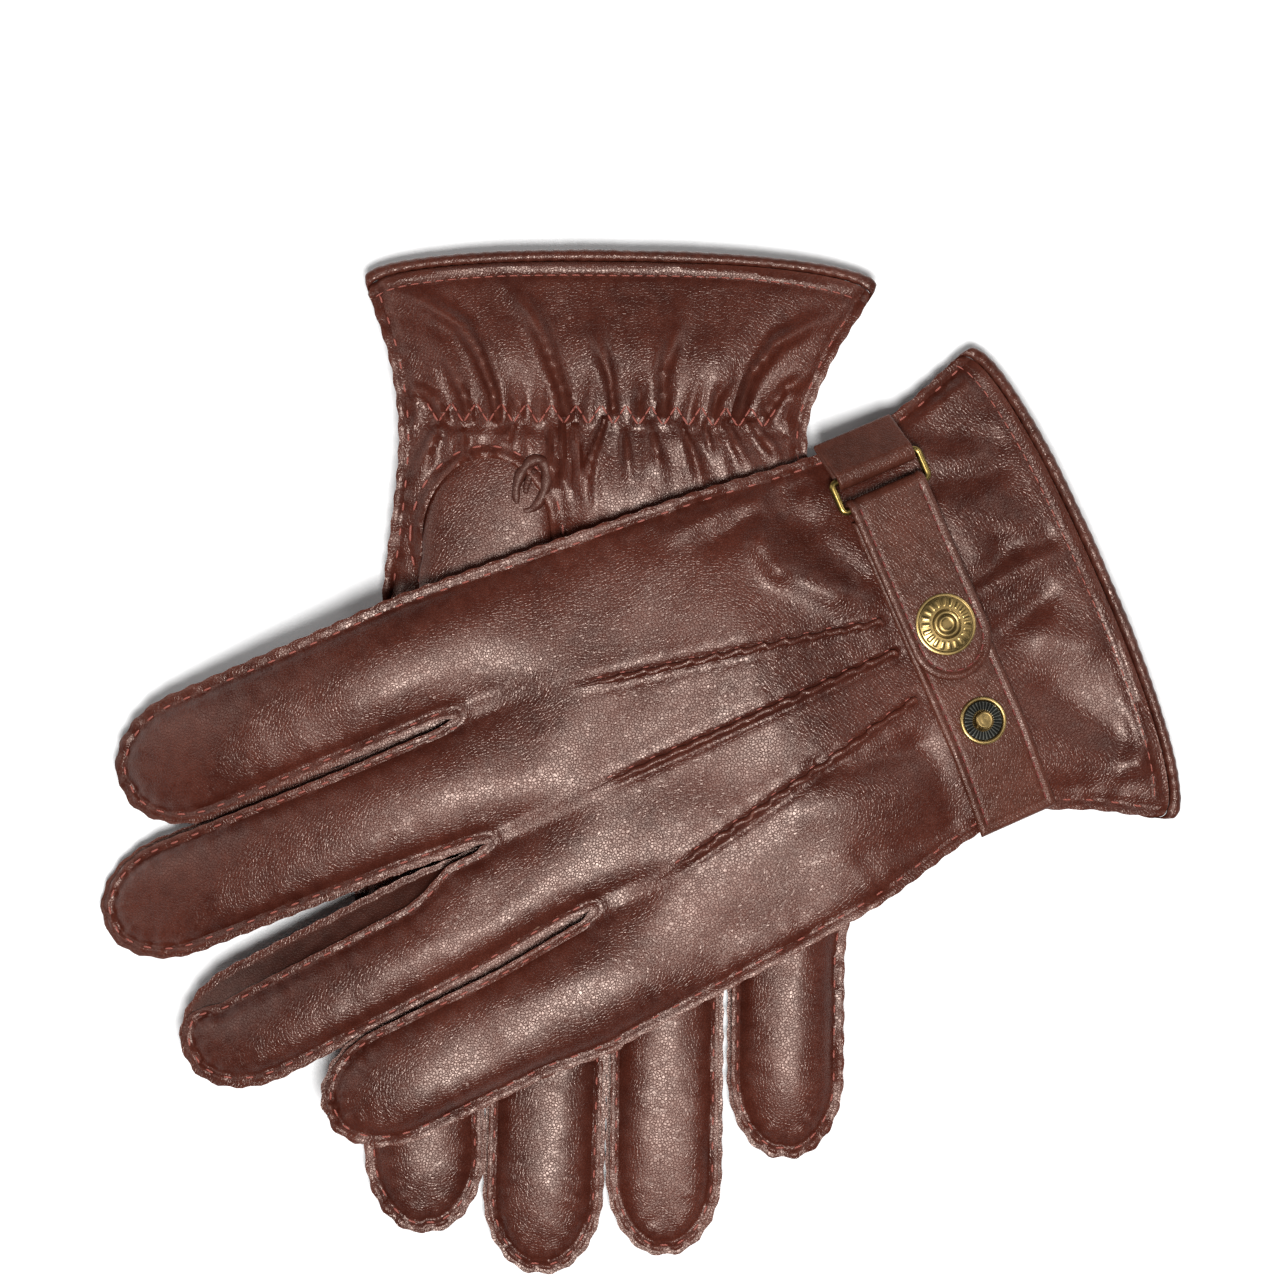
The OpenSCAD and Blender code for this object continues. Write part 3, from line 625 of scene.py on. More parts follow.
def gathers(g, x, y):
    """Pleats that the elastic draws into the palm at the wrist."""
    near, far = curve(THUMB_SIDE, y), curve(LITTLE_SIDE, y)
    wide = near - far
    edge = 1 - np.abs(2 * (near - x) / wide - 1)
    xf = (x - (near + far) / 2) * 99.5 / wide + 3.6
    drift = 1.2 * wobble(xf, y * 0.35, 16, 5 + g) * smooth(np.abs(y - 31) / 14)
    turn = (43 - xf - drift) / 6
    at_point = 6 * (turn - np.round(turn))
    between = 6 * (turn + 0.5 - np.round(turn + 0.5))
    keep = smooth(edge / 0.1) * (xf > -41) * (xf < 49)
    uneven = 0.8 + 0.25 * wobble(xf, y * 0.3, 13, 11)
    ridge, furrow = bell(at_point, 0, 1.15), bell(between, 0, 1.4)
    h = 1.05 * ridge * bell(np.minimum(y, 30.5), 30.5, 7) * smooth((34.6 - y) / 2.5)
    h -= 0.75 * furrow * bell(y, 32.6, 3.0)
    h -= 0.45 * ridge * bell(y, 34.6, 1.5)
    h += 0.75 * furrow * smooth((y - 34) / 3) * bell(np.maximum(y, 38), 38, 10)
    h -= 0.5 * bell(y, 31, 8)
    h = h * keep * uneven
    sides = smooth(edge / 0.16)
    broad = smooth((y - 33) / 8) * bell(np.maximum(y, 42), 42, 18)
    broad = broad + 0.8 * smooth((30 - y) / 8) * bell(np.minimum(y, 18), 18, 14)
    h += (0.3 if g == RIGHT else 0.7) * broad * sides * wobble(xf, y * 0.25, 17, 23 + g)
    if g == RIGHT:
        for width, height, *points in PALM_PLEATS:
            h += along_line(x, y, points, width * 0.85, height * 2.3) * smooth(edge / 0.07)
    return h


def relief(g, side, x, y, d, run, s):
    """Everything that stands on or sinks into a panel's plain shape."""
    phase = math.tau * run / PITCH
    lump = 0.5 - 0.5 * np.cos(phase)
    irregular = 1 + 0.35 * wobble(run, 0.0, 17, 3)
    tip = 1 + 0.7 * bell(s, 0.94, 0.1)
    h = bell(d, 1.0, 0.9) * (0.05 + 0.34 * lump * irregular) * tip
    h -= bell(d, SEAM + 0.25, 0.75) * (0.62 - 0.3 * lump) * irregular
    h += bell(d, 4.6, 1.7) * 0.24 * (lump - 0.35) * irregular * tip
    h += bell(d, 6.5, 3.0) * 0.10 * np.sin(phase * 0.5 + 1.5 * wobble(run, 0.0, 30, 9))
    inside = smooth((d - 3) / 9)
    h += inside * (0.4 * wobble(x, y, 44, 21 + g + side) + 0.06 * wobble(x, y, 15, 31 + side))
    fingers = smooth((y - 150) / 18)
    creases = np.sin(y * 0.55 + 1.6 * wobble(x, y, 26, 41) + x * 0.05)
    h += fingers * inside * 0.06 * creases * (1 + 0.6 * wobble(x, y, 30, 43))
    # the pillow of each finger, and of the hand, is fuller than its plain section
    h += 0.45 * smooth((d - 2.6) / 3.2) * (0.4 + 0.6 * fingers) * (side * g > 0)
    cuff = y + BOW[g] * np.maximum(1 - clamp01(np.abs(x) / 61.5) ** 2, 0) ** 0.4
    h += 0.45 * bell(cuff, 4.2, 0.75) - 0.4 * bell(cuff, 3.0, 0.5) - 0.4 * bell(cuff, 5.5, 0.7)
    h -= 0.25 * bell(cuff, 6.4, 0.7)
    if side == BACK:
        for x0, y0, x1, y1, width, height in BACK_FOLDS[g]:
            dist, _ = from_segment(x, y, x0, y0, x1, y1)
            h += height * bell(dist, 0, width) * smooth((d - 2) / 4) * smooth((cuff - 5) / 4)
        for (x0, y0), (x1, y1) in POINT_LINES:
            dist, share = from_segment(x, y, x0, y0, x1, y1)
            ends = smooth((1 - share) / 0.2)
            pinch = np.cos(math.tau * share * POINT_RUN / PITCH)
            h += ends * (0.7 * bell(dist, 0, 0.9) - (0.3 + 0.12 * pinch) * bell(dist, 1.7, 0.7)
                         + (0.04 - 0.05 * pinch) * bell(dist, 3.6, 1.6))
    else:
        h += gathers(g, x, y)
        away = np.hypot((x - HOLE[0]) / HOLE_R[0], (y - HOLE[1]) / HOLE_R[1])
        angle = np.arctan2((y - HOLE[1]) / HOLE_R[1], (x - HOLE[0]) / HOLE_R[0])
        beads = 0.5 - 0.5 * np.cos(angle * 20)
        h += (0.75 + 0.3 * beads) * bell(away, 1.05, 0.055) - 0.5 * bell(away, 1.19, 0.05)
    return np.maximum(h, -1.45)


def clustered(count, amount):
    u = np.linspace(0, 1, count + 1)
    return mix(u, (1 - np.cos(math.pi * u)) / 2, amount)


SURFACES = {}  # (glove, side): a tree of the panel's outer surface


def comb(g, side, m, rows, finger_rows, edges, top, insets=(0, 0, 0), drop=0.0, skew=0.35):
    """Plan points and heights of a hand panel with its four fingers, the share of the way up the
    finger, whether a point lies beside a gap, its finger (-1 on the hand) and the cells."""
    t = clustered(m, 0.5)
    c = 4 * m + 1
    k_col = np.minimum(np.arange(c) // m, 3)
    t_col = t[np.arange(c) - k_col * m]
    v = FIRST_ROW + (1 - FIRST_ROW) * np.linspace(0, 1, rows)
    k_grid, t_grid, v_grid = np.broadcast_arrays(k_col[None], t_col[None], v[:, None])
    x, y, f = hand_point(g, k_grid, t_grid, v_grid, insets[0], drop)
    h = hand_height(edges, top, k_grid, t_grid, f, v_grid)
    plain = np.zeros(x.size)
    columns = [[x.ravel()], [y.ravel()], [h.ravel()], [plain], [plain], [np.full(x.size, -1)]]
    ids = np.arange(x.size).reshape(x.shape)
    quads = [grid_quads(ids)]
    count = x.size
    s = 1 - (1 - np.linspace(0, 1, finger_rows + 1)[1:]) ** 1.35
    for k in range(4):
        t_grid, s_grid = np.broadcast_arrays(t[None], s[:, None])
        x, y = finger_point(g, k, rolled(g, side, k, t_grid, s_grid), s_grid, insets, drop, skew)
        h = finger_height(edges, top, k, t_grid, s_grid)
        own = count + np.arange(x.size).reshape(x.shape)
        quads.append(grid_quads(np.concatenate([ids[-1:, k * m:(k + 1) * m + 1], own])))
        gap = np.where(t_grid < 0.5, k > 0, k < 3) * smooth(s_grid / 0.05)
        for column, values in zip(columns, (x, y, h, s_grid, gap, np.full(x.shape, k))):
            column.append(values.ravel())
        count += x.size
    return (*(np.concatenate(column) for column in columns), np.concatenate(quads))


def cut_hole(x, y, quads, grow):
    """Leaves out the cells inside the thumb hole and draws its rim into a clean oval."""
    away = np.hypot((x - HOLE[0]) / (HOLE_R[0] + grow), (y - HOLE[1]) / (HOLE_R[1] + grow))
    quads = quads[~np.all(away[quads] < 1, axis=1)]
    rim = (away < 1) & np.isin(np.arange(len(x)), quads)
    x[rim] = HOLE[0] + (x[rim] - HOLE[0]) / away[rim]
    y[rim] = HOLE[1] + (y[rim] - HOLE[1]) / away[rim]
    return quads


def panel(g, side):
    """The leather of one side of a glove; gives its stitched edge, for the seam stitches."""
    upward = g * side > 0
    m, rows, finger_rows = (30, 150, 86) if upward else (18, 92, 52)
    top = CROWN + (0.4 if upward else 0.0)
    x, y, h, s, between, fingers, quads = comb(g, side, m, rows, finger_rows,
                                               (EDGE_OUT, LOW_EDGE_IN), top)
    if side == PALM:
        quads = cut_hole(x, y, quads, 0)
    rim, runs, normals, owner = outline(g, side)
    index, d = np.zeros(len(x), int), np.zeros(len(x))
    for k in range(-1, 4):
        mine = np.flatnonzero(fingers == k)
        own = np.arange(len(rim)) if k < 0 else np.flatnonzero(owner == k)
        tree = KDTree(len(own))
        for i in own:
            tree.insert((rim[i][0], rim[i][1], 0), i)
        tree.balance()
        found = [tree.find((x[j], y[j], 0))[1:] for j in mine]
        index[mine] = [f[0] for f in found]
        d[mine] = [f[1] for f in found]
    run, normal = runs[index], normals[index]
    extra = relief(g, side, x, y, d, run, s) * (1 if upward else 0.55)
    if not upward:
        extra = np.minimum(extra, 0.15)
    lump = 0.5 - 0.5 * np.cos(math.tau * run / PITCH)
    between = between * upward
    push = np.exp(-d / 1.3) * (0.4 * lump * (1 - 0.6 * between) - 0.12) * (1 + 0.5 * bell(s, 0.95, 0.1))
    push -= 0.95 * between * np.exp(-d / 4)
    x, y = x + normal[:, 0] * push, y + normal[:, 1] * push
    level = g * middle(g, x, y)
    outer = place(g, np.stack([x, y, side * (h + extra) + level], -1))
    inner = place(g, np.stack([x, y, side * (h + extra - LEATHER) + level], -1))
    SURFACES[g, side] = BVHTree.FromPolygons([Vector(p) for p in outer], quads.tolist())
    verts, faces = shell(outer, inner, quads)
    name = f"{NAMES[g]}_{'back' if side == BACK else 'palm'}"
    piece = make(name, verts, faces, LEATHER_MAT, f"{NAMES[g]}_glove",
                 [f"{name}_panel"])
    return rim, runs, normals


def lining(g, side):
    """The knitted lining under one panel."""
    top = CROWN - LEATHER - (0.7 if side == BACK else 1.1)
    x, y, h, _, _, _, quads = comb(g, side, 12, 64, 34, (0.95, 2.6), top, (7.5, 4, 7.5), 8.0, 0.09)
    if side == PALM:
        quads = cut_hole(x, y, quads, 1.5)
    h = h + 0.12 * wobble(x, y, 14, 51) * smooth((h - 1.2) / 1.0)
    level = g * middle(g, x, y)
    outer = place(g, np.stack([x, y, side * h + level], -1))
    inner = place(g, np.stack([x, y, side * (h - LINING) + level], -1))
    verts, faces = shell(outer, inner, quads)
    name = f"{NAMES[g]}_{'back' if side == BACK else 'palm'}_lining"
    piece = make(name + "_knit", verts, faces, LINING_MAT, f"{NAMES[g]}_glove", [name])


def hit(g, side, x, y):
    """The point of a panel's outer surface over or under a plan point, and its normal."""
    p = place(g, [x, y, 0.0])
    up = 1 if g * side > 0 else -1
    found = SURFACES[g, side].ray_cast(Vector((p[0], p[1], 0.2 * up)), Vector((0, 0, -up)))
    if found[0] is None:
        return None
    normal = found[1] if found[1].z * up > 0 else -found[1]
    return np.array(found[0]), np.array(normal)


def stitch(threads, g, side, start, end, radius=0.27, sunk=0.0):
    a, b = hit(g, side, *start), hit(g, side, *end)
    if a is None or b is None:
        return
    lift = (radius * 0.45 - sunk) * 0.001
    threads.add(a[0] + a[1] * lift, b[0] + b[1] * lift, a[1] + b[1], radius)


def seam_stitches(g, outlines):
    """Prick stitches of the long seams, the cuff's topstitch and the thumb seam."""
    threads = Threads()
    for side in (BACK, PALM):
        rim, runs, normals = outlines[side]
        for at in np.arange(PITCH * 0.9, runs[-1] - PITCH, PITCH):
            i = int(at / OUTLINE_STEP)
            p = rim[i] - normals[i] * SEAM
            along = np.array([-normals[i][1], normals[i][0]])
            stitch(threads, g, side, p - along * 0.95, p + along * 0.95, 0.24, 0.06)
        share = np.linspace(0.012, 0.988, 4000)
        k = np.minimum((share * 4).astype(int), 3)
        x, y, _ = hand_point(g, k, share * 4 - k, 6.0 / 150)
        run = np.concatenate([[0], np.cumsum(np.hypot(np.diff(x), np.diff(y)))])
        for at in np.arange(0, run[-1] - 3, 3.0):
            a, b = [np.array([np.interp(q, run, x), np.interp(q, run, y)]) for q in (at, at + 2.0)]
            stitch(threads, g, side, a, b, 0.17, 0.03)
    for w in np.arange(0, math.tau, 0.27):
        ends = [HOLE + (HOLE_R + 2.9) * [math.cos(w + e), math.sin(w + e)] for e in (-0.055, 0.055)]
        stitch(threads, g, PALM, *ends)
    for line in POINT_LINES:
        start, length, along, aside = line_frame(*line)
        for at in np.arange(1.5, length - 5, PITCH):
            p = start + along * at + aside * 1.15
            stitch(threads, g, BACK, p - along * 0.7, p + along * 0.7, 0.18, 0.05)
    name = NAMES[g]
    return make(f"{name}_seam_stitches", threads.verts, threads.faces, THREAD_MAT, f"{name}_glove",
                recalc=False)


def elastic(g):
    """The hidden elastic and the zigzag row that holds it."""
    threads = Threads()
    turns = 28
    for i in range(turns):
        ends = [(mix(46, -38, (i + q) / turns), mix(*ELASTIC_Y, q if i % 2 == 0 else 1 - q))
                for q in (0.06, 0.94)]
        a, b = (np.array(e) for e in ends)
        for lo, hi in ((0, 0.46), (0.54, 1)):
            stitch(threads, g, PALM, mix(a, b, lo), mix(a, b, hi), 0.25)
    name = NAMES[g]
    make(f"{name}_zigzag_stitches", threads.verts, threads.faces, THREAD_MAT, f"{name}_glove",
         [f"{name}_elastic_stitching"], recalc=False)
    x, y = np.meshgrid(np.linspace(36, -29, 90), np.linspace(27, 35, 12))
    rib = 0.06 * np.sin(x * 7)
    verts, faces = slab_between(place(g, over_hand(g, PALM, x, y, -LEATHER - 0.5 + rib)),
                                place(g, over_hand(g, PALM, x, y, -LEATHER - 0.95 + rib)))
    make(f"{name}_elastic_band", verts, faces, ELASTIC_MAT, f"{name}_glove",
         [f"{name}_wrist_elastic"])


def fourchette(g, index, which):
    """The strip between two fingers: down one finger, round the fork and up the next."""
    down = np.linspace(0.93, 0.05, 110)
    bend = np.linspace(-1, 1, 13)[1:-1]

    def path(side, share, back_off):
        first = np.stack(finger_point(g, index, rolled(g, side, index, 1 - share, down), down), 1)
        second = np.stack(finger_point(g, index + 1, rolled(g, side, index + 1, share, down[::-1]),
                                       down[::-1]), 1)
        fork = FORKS[index + 1] - [0, back_off]
        a, b = first[-1], second[0]
        round_fork = np.array([(1 - abs(q)) ** 0.7 * fork + (1 - (1 - abs(q)) ** 0.7) * (a if q < 0 else b)
                               for q in bend])
        return np.concatenate([first, round_fork, second])

    stations = np.concatenate([down, np.zeros(len(bend)), down[::-1]])
    lip = mix(LOW_EDGE_IN, EDGE_OUT, smooth((stations - 0.6) / 0.35)) - LEATHER + 0.05
    across = np.linspace(0, 1, 11)

    def wall(share, back_off):
        top, low = path(BACK, share, back_off), path(PALM, share, back_off)
        mid = np.gradient((top + low) / 2, axis=0)
        mid /= np.maximum(np.linalg.norm(mid, axis=1), 1e-9)[:, None]
        into = np.stack([-mid[:, 1], mid[:, 0]], 1)
        rows = []
        for q in across:
            xy = mix(top, low, q)
            sag = math.sin(math.pi * q) * (0.9 + 0.25 * np.sin(np.arange(len(xy)) * 0.33 + 5 * q))
            xy = xy + into * sag[:, None] * np.minimum(lip / 2.8, 1)[:, None]
            z = lip * (1 - 2 * q) + g * middle(g, xy[:, 0], xy[:, 1])
            rows.append(np.stack([xy[:, 0], xy[:, 1], z], -1))
        return np.array(rows)

    verts, faces = slab_between(place(g, wall(0.05, 1.9)), place(g, wall(0.078, 2.7)))
    name = f"{NAMES[g]}_fourchette_{which}"
    # The darker leather here is painted shade between the fingers.
    piece = make(f"{name}_leather", verts, faces, SHADED_LEATHER_MAT, f"{NAMES[g]}_glove", [name])


def thumb(g):
    """A flattened tube that grows out of the palm's hole and lies along the palm."""
    turn = THUMB_TURN[g]
    ahead = np.array([-math.sin(turn), math.cos(turn)])
    beside = np.array([math.cos(turn), math.sin(turn)])
    s = np.concatenate([np.linspace(0, 0.2, 22)[:-1], 1 - (1 - np.linspace(0, 1, 56)) ** 1.6 * 0.8])
    w = np.linspace(0, math.tau, 73)[:-1]
    s_grid, w_grid = np.meshgrid(s, w, indexing="ij")

    def tube(wall):
        q = np.minimum(s_grid, 0.985) if wall else s_grid
        hole_x = HOLE[0] + (HOLE_R[0] - wall) * np.cos(w_grid)
        hole_y = HOLE[1] - (HOLE_R[1] - wall) * np.sin(w_grid)
        mouth = over_hand(g, PALM, hole_x, hole_y, 0.2)
        end = np.sqrt(np.maximum(1 - clamp01((q - 0.72) / 0.28) ** 2, 0.03))
        half = np.maximum((THUMB_W / 2 - wall) * end, 0.4)
        thick = mix(2.4, 3.3, smooth(q / 0.4)) * (0.4 + 0.6 * end)
        base_x, base_y = (HOLE[i] + ahead[i] * THUMB_LEN * q for i in (0, 1))
        level = g * middle(g, base_x, base_y) - CROWN - GAP - thick
        across, over = np.cos(w_grid), np.sin(w_grid)
        ripple = 0.14 * wobble(q * THUMB_LEN, w_grid * 6, 9, 61 + g) + 0.1 * np.sin(q * 46 + 2 * across)
        flange = 0.5 * bell(across, 1, 0.02) * (0.6 + 0.4 * np.cos(math.tau * q * THUMB_LEN / PITCH))
        reach = (half + flange * (wall == 0)) * across
        x, y = base_x + beside[0] * reach, base_y + beside[1] * reach
        z = level - (np.maximum(thick - wall, 0.3) + ripple * (wall == 0) * (over > 0)) * over
        return mix(mouth, np.stack([x, y, z], -1), smooth(q / 0.18)[..., None])

    rows, cols = s_grid.shape
    ids = np.arange(rows * cols).reshape(rows, cols)
    quads = grid_quads(np.concatenate([ids, ids[:, :1]], 1))
    verts, faces = shell(place(g, tube(0)).reshape(-1, 3), place(g, tube(0.9)).reshape(-1, 3), quads)
    # the tip's open rims are closed by caps instead of a wall
    tip = set(ids[-1])
    n = rows * cols
    faces = [tuple(f) for f in faces if not ({i % n for i in f} <= tip)]
    faces += [tuple(ids[-1]), tuple(ids[-1] + n)]
    name = NAMES[g]
    piece = make(f"{name}_thumb_leather", verts, faces, LEATHER_MAT, f"{name}_glove",
                 [f"{name}_thumb"])


def cuff_roll(g):
    """The rolled binding round the cuff, one roll for the back and one for the palm."""
    share = np.linspace(0, 1, 260)
    k = np.minimum((share * 4).astype(int), 3)
    t = share * 4 - k
    around = np.linspace(0, math.tau, 17)[:-1]
    x0, y0, f0 = hand_point(g, k, t, 0.0)
    x1, y1, _ = hand_point(g, k, t, 0.016)
    out = np.stack([x0 - x1, y0 - y1], -1)
    out /= np.linalg.norm(out, axis=1)[:, None]
    height = mix(EDGE_OUT, CROWN, hand_bulge(f0))
    verts, faces = [], []
    for side in (BACK, PALM):
        tall = np.minimum(CUFF_ROLL_R, (height + 0.5) / 2)
        centre = height + 0.45 - tall
        bumps = 1 + 0.05 * np.sin(share * 240) + 0.04 * wobble(share * 120, 0.0, 9, 71)
        base = len(verts)
        for i in range(len(share)):
            for w in around:
                reach = CUFF_ROLL_R * bumps[i] * math.cos(w) - 0.2
                px = (x0[i] + x1[i]) / 2 + out[i, 0] * reach
                py = (y0[i] + y1[i]) / 2 + out[i, 1] * reach
                pz = side * (centre[i] + tall[i] * bumps[i] * math.sin(w)) + g * float(middle(g, px, py))
                verts.append((px, py, pz))
        faces += tube_faces(base, len(share) - 1, len(around))
    name = NAMES[g]
    make(f"{name}_cuff_roll", place(g, np.array(verts)), faces, CORD_MAT, f"{name}_glove",
         [f"{name}_cuff_binding"])


def point_ribs(g):
    """The three raised points on the back, as puckered tucks of leather."""
    verts, faces = [], []
    steps, ring = 150, 9
    for line in POINT_LINES:
        start, length, along, aside = line_frame(*line)
        base = len(verts)
        for i in range(steps + 1):
            at = length * i / steps
            phase = math.tau * at / PITCH
            taper = float(smooth((length - at) / 16)) * 0.85 + 0.15
            half = (0.8 + 0.09 * math.cos(phase)) * taper
            tall = (0.72 + 0.12 * math.cos(phase + 0.4)) * taper
            p = start + along * at + aside * 0.13 * math.sin(phase) * taper
            found = hit(g, BACK, *p)
            spot, normal = found if found else (place(g, [*p, 0]), np.array([0, 0, 1.0]))
            wide = place(g, [*(p + aside), 0]) - place(g, [*p, 0])
            for j in range(ring):
                w = math.pi * j / (ring - 1) * 1.3 - 0.15 * math.pi
                lift = tall * math.sin(w) + 0.1
                verts.append(spot + wide * half * math.cos(w) + normal * lift * 0.001)
        faces += tube_faces(base, steps, ring)
    name = NAMES[g]
    make(f"{name}_point_ribs", verts, faces, LEATHER_MAT, f"{name}_glove",
         [f"{name}_back_points"])


# ---- wrist strap ---------------------------------------------------------------------------

def even_path(points, step=0.45):
    p = np.array(points, float)
    run = run_along(p)
    at = np.linspace(0, run[-1], max(int(run[-1] / step), 4))
    return np.stack([np.interp(at, run, p[:, 0]), np.interp(at, run, p[:, 1])], 1), at


def rounded_path(points, radius):
    """A polyline in X and Z with its corners rounded by short arcs."""
    out = [points[0]]
    for a, b, c in zip(points[:-2], points[1:-1], points[2:]):
        a, b, c = np.array(a, float), np.array(b, float), np.array(c, float)
        before = b + (a - b) / np.linalg.norm(a - b) * radius
        after = b + (c - b) / np.linalg.norm(c - b) * radius
        for q in np.linspace(0, 1, 12):
            out.append(tuple((1 - q) ** 2 * before + 2 * q * (1 - q) * b + q * q * after))
    return out + [points[-1]]


def arc(cx, cz, r, start, end, steps=40):
    return [(cx + r * math.cos(math.radians(a)), cz + r * math.sin(math.radians(a)))
            for a in np.linspace(start, end, steps)]


def ribbon(path, nose):
    """A leather strap along a middle line in X and Z: rounded rim, raised edge, topstitch groove
    and, where `nose` isn't 0, a start rounded over that length. Gives vertices, faces and a
    function that finds a point and its normal over the strap's top."""
    line, at = even_path(path)
    total = at[-1]
    if nose:
        near_nose = nose * (1 - np.cos(np.linspace(0.05, math.pi / 2, 34)))
        rest = at[at > nose * 1.01]
        spots = np.concatenate([near_nose, rest])
    else:
        rest = at[(at > 0.3) & (at < total - 0.3)]
        spots = np.concatenate([[0, 0.08, 0.2], rest, [total - 0.2, total - 0.08, total]])
    centre = np.stack([np.interp(spots, at, line[:, 0]), np.interp(spots, at, line[:, 1])], 1)
    tangent = np.gradient(line, axis=0)
    tangent /= np.linalg.norm(tangent, axis=1)[:, None]
    tangent = np.stack([np.interp(spots, at, tangent[:, 0]), np.interp(spots, at, tangent[:, 1])], 1)
    normal = np.stack([-tangent[:, 1], tangent[:, 0]], 1)
    half = np.full(len(spots), STRAP_W / 2)
    if nose:
        inside = spots < nose
        round_nose = np.sqrt(np.maximum(nose**2 - (nose - spots[inside]) ** 2, 0.25))
        half[inside] = round_nose * STRAP_W / 2 / nose
    q = np.sin(np.linspace(-1, 1, 47) * math.pi / 2)
    q = mix(q, np.linspace(-1, 1, 47), 0.45)
    y = half[:, None] * q[None]
    d = half[:, None] - np.abs(y)
    if nose:
        ring = nose - np.hypot(nose - spots[:, None], y * nose * 2 / STRAP_W)
        d = np.where(spots[:, None] < nose, np.maximum(ring, 0), d)
        d = np.minimum(d, total - spots[:, None])
    else:
        d = np.minimum(d, np.minimum(spots, total - spots)[:, None])
    round_off = np.sqrt(np.maximum(1 - (1 - clamp01(d / 0.6)) ** 2, 0))
    bottom = STRAP_T / 2 * round_off
    top = bottom + (0.22 * bell(d, 1.1, 0.5) - 0.2 * bell(d, 2.25, 0.45)) * (d > 0.02)
    top = top + 0.1 * smooth(d / (STRAP_W / 2)) + 0.03 * wobble(spots[:, None], y, 7, 81)

    def surface(offset):
        return np.stack([centre[:, 0][:, None] + normal[:, 0][:, None] * offset, y,
                         centre[:, 1][:, None] + normal[:, 1][:, None] * offset], -1)

    def spot(s, across):
        c = np.array([np.interp(s, at, line[:, 0]), np.interp(s, at, line[:, 1])])
        n = np.array([np.interp(s, spots, normal[:, 0]), np.interp(s, spots, normal[:, 1])])
        c = c + n * (STRAP_T / 2 + THREAD_LIFT)
        return np.array([c[0], across, c[1]]), np.array([n[0], 0, n[1]])

    verts, faces = slab_between(surface(top), surface(-bottom - 0.001))
    return verts, faces, spot


def wrist_direction(g, vector):
    return at_wrist(g, vector) - at_wrist(g, np.zeros(3))


def strap_piece(g, name, path, body, replaces, rows, threads, nose=0.0):
    """A strap with rows of machine stitches: along both edges, across it, or round its nose."""
    verts, faces, spot = ribbon(path, nose)
    piece = make(f"{NAMES[g]}_{name}", at_wrist(g, verts), faces, STRAP_MAT, body,
                 replaces)
    edge = STRAP_W / 2 - STITCH_INSET

    def sew(start, end):
        (a, normal), (b, _) = spot(*start), spot(*end)
        threads.add(at_wrist(g, a), at_wrist(g, b), wrist_direction(g, normal), 0.21, 0.05)

    for kind, start, end in rows:
        if kind == "long":
            for across in (-edge, edge):
                for at in np.arange(start, end, MACHINE_PITCH):
                    sew((at, across), (at + MACHINE_STITCH, across))
        elif kind == "across":
            for across in np.arange(-edge, edge - 1, MACHINE_PITCH):
                sew((start, across), (start, across + MACHINE_STITCH))
        else:
            r = nose - STITCH_INSET
            for w in np.arange(math.pi / 2, 3 * math.pi / 2, MACHINE_PITCH / r):
                sew(*((nose + r * math.cos(e), r * math.sin(e)) for e in (w, w + MACHINE_STITCH / r)))
    return piece


def lathe(profile, around, bumps):
    """Turns a profile of radius and height about Z; bumps(r, z, angle) adds to the height."""
    verts, faces = [], []
    for r, z in profile:
        for q in range(around):
            w = math.tau * q / around
            verts.append((r * math.cos(w), r * math.sin(w), z + bumps(r, z, w)))
    return np.array(verts), tube_faces(0, len(profile) - 1, around)


def cap_bumps(r, z, w):
    """Plain raised dashes round the dome."""
    if z < 0.6 or not 3.9 < r < 6.6:
        return 0.0
    band = float(smooth((r - 4.2) / 0.35) * (1 - smooth((r - 6.0) / 0.35)))
    dash = float(smooth((math.cos(20 * w) - 0.1) / 0.35))
    return 0.16 * band * dash


def snap_cap(g):
    dome = [(1.5, -STRAP_T), (1.5, 0.0), (CAP_R - 0.5, 0.0), (CAP_R - 0.12, 0.08), (CAP_R, 0.3),
            (CAP_R - 0.08, 0.52), (CAP_R - 0.35, 0.66), (CAP_R - 0.6, 0.64), (CAP_R - 0.75, 0.6)]
    for r in np.linspace(6.6, 3.7, 26):
        dome.append((r, 0.66 + 0.86 * (1 - ((r - 3.0) / 3.9) ** 2.2)))
    dome += [(3.55, 1.34), (3.35, 1.3), (3.2, 1.34), (3.1, 1.5), (2.95, 1.62), (2.75, 1.66), (2.55, 1.62),
             (2.4, 1.5), (2.3, 1.4), (2.0, 1.38), (1.9, 1.44), (1.75, 1.54), (1.6, 1.56), (1.45, 1.54),
             (1.3, 1.44), (1.2, 1.4), (0.8, 1.42), (0.3, 1.43)]
    verts, faces = lathe(dome, 200, cap_bumps)
    verts += [CAP_X, 0, CAP_Z + 0.02]
    name = NAMES[g]
    make(f"{name}_brass_cap", at_wrist(g, verts), faces, BRASS_MAT, f"{name}_flap",
         [f"{name}_snap_cap"], 38)


def stud_bumps(r, z, w):
    """Radial ribs in the stud's dark well."""
    if not 2.3 < r < 4.75:
        return 0.0
    rib = smooth((math.cos(30 * w) + 0.2) / 0.5)
    return 0.26 * float(rib * smooth((r - 2.3) / 0.3) * smooth((4.75 - r) / 0.2))


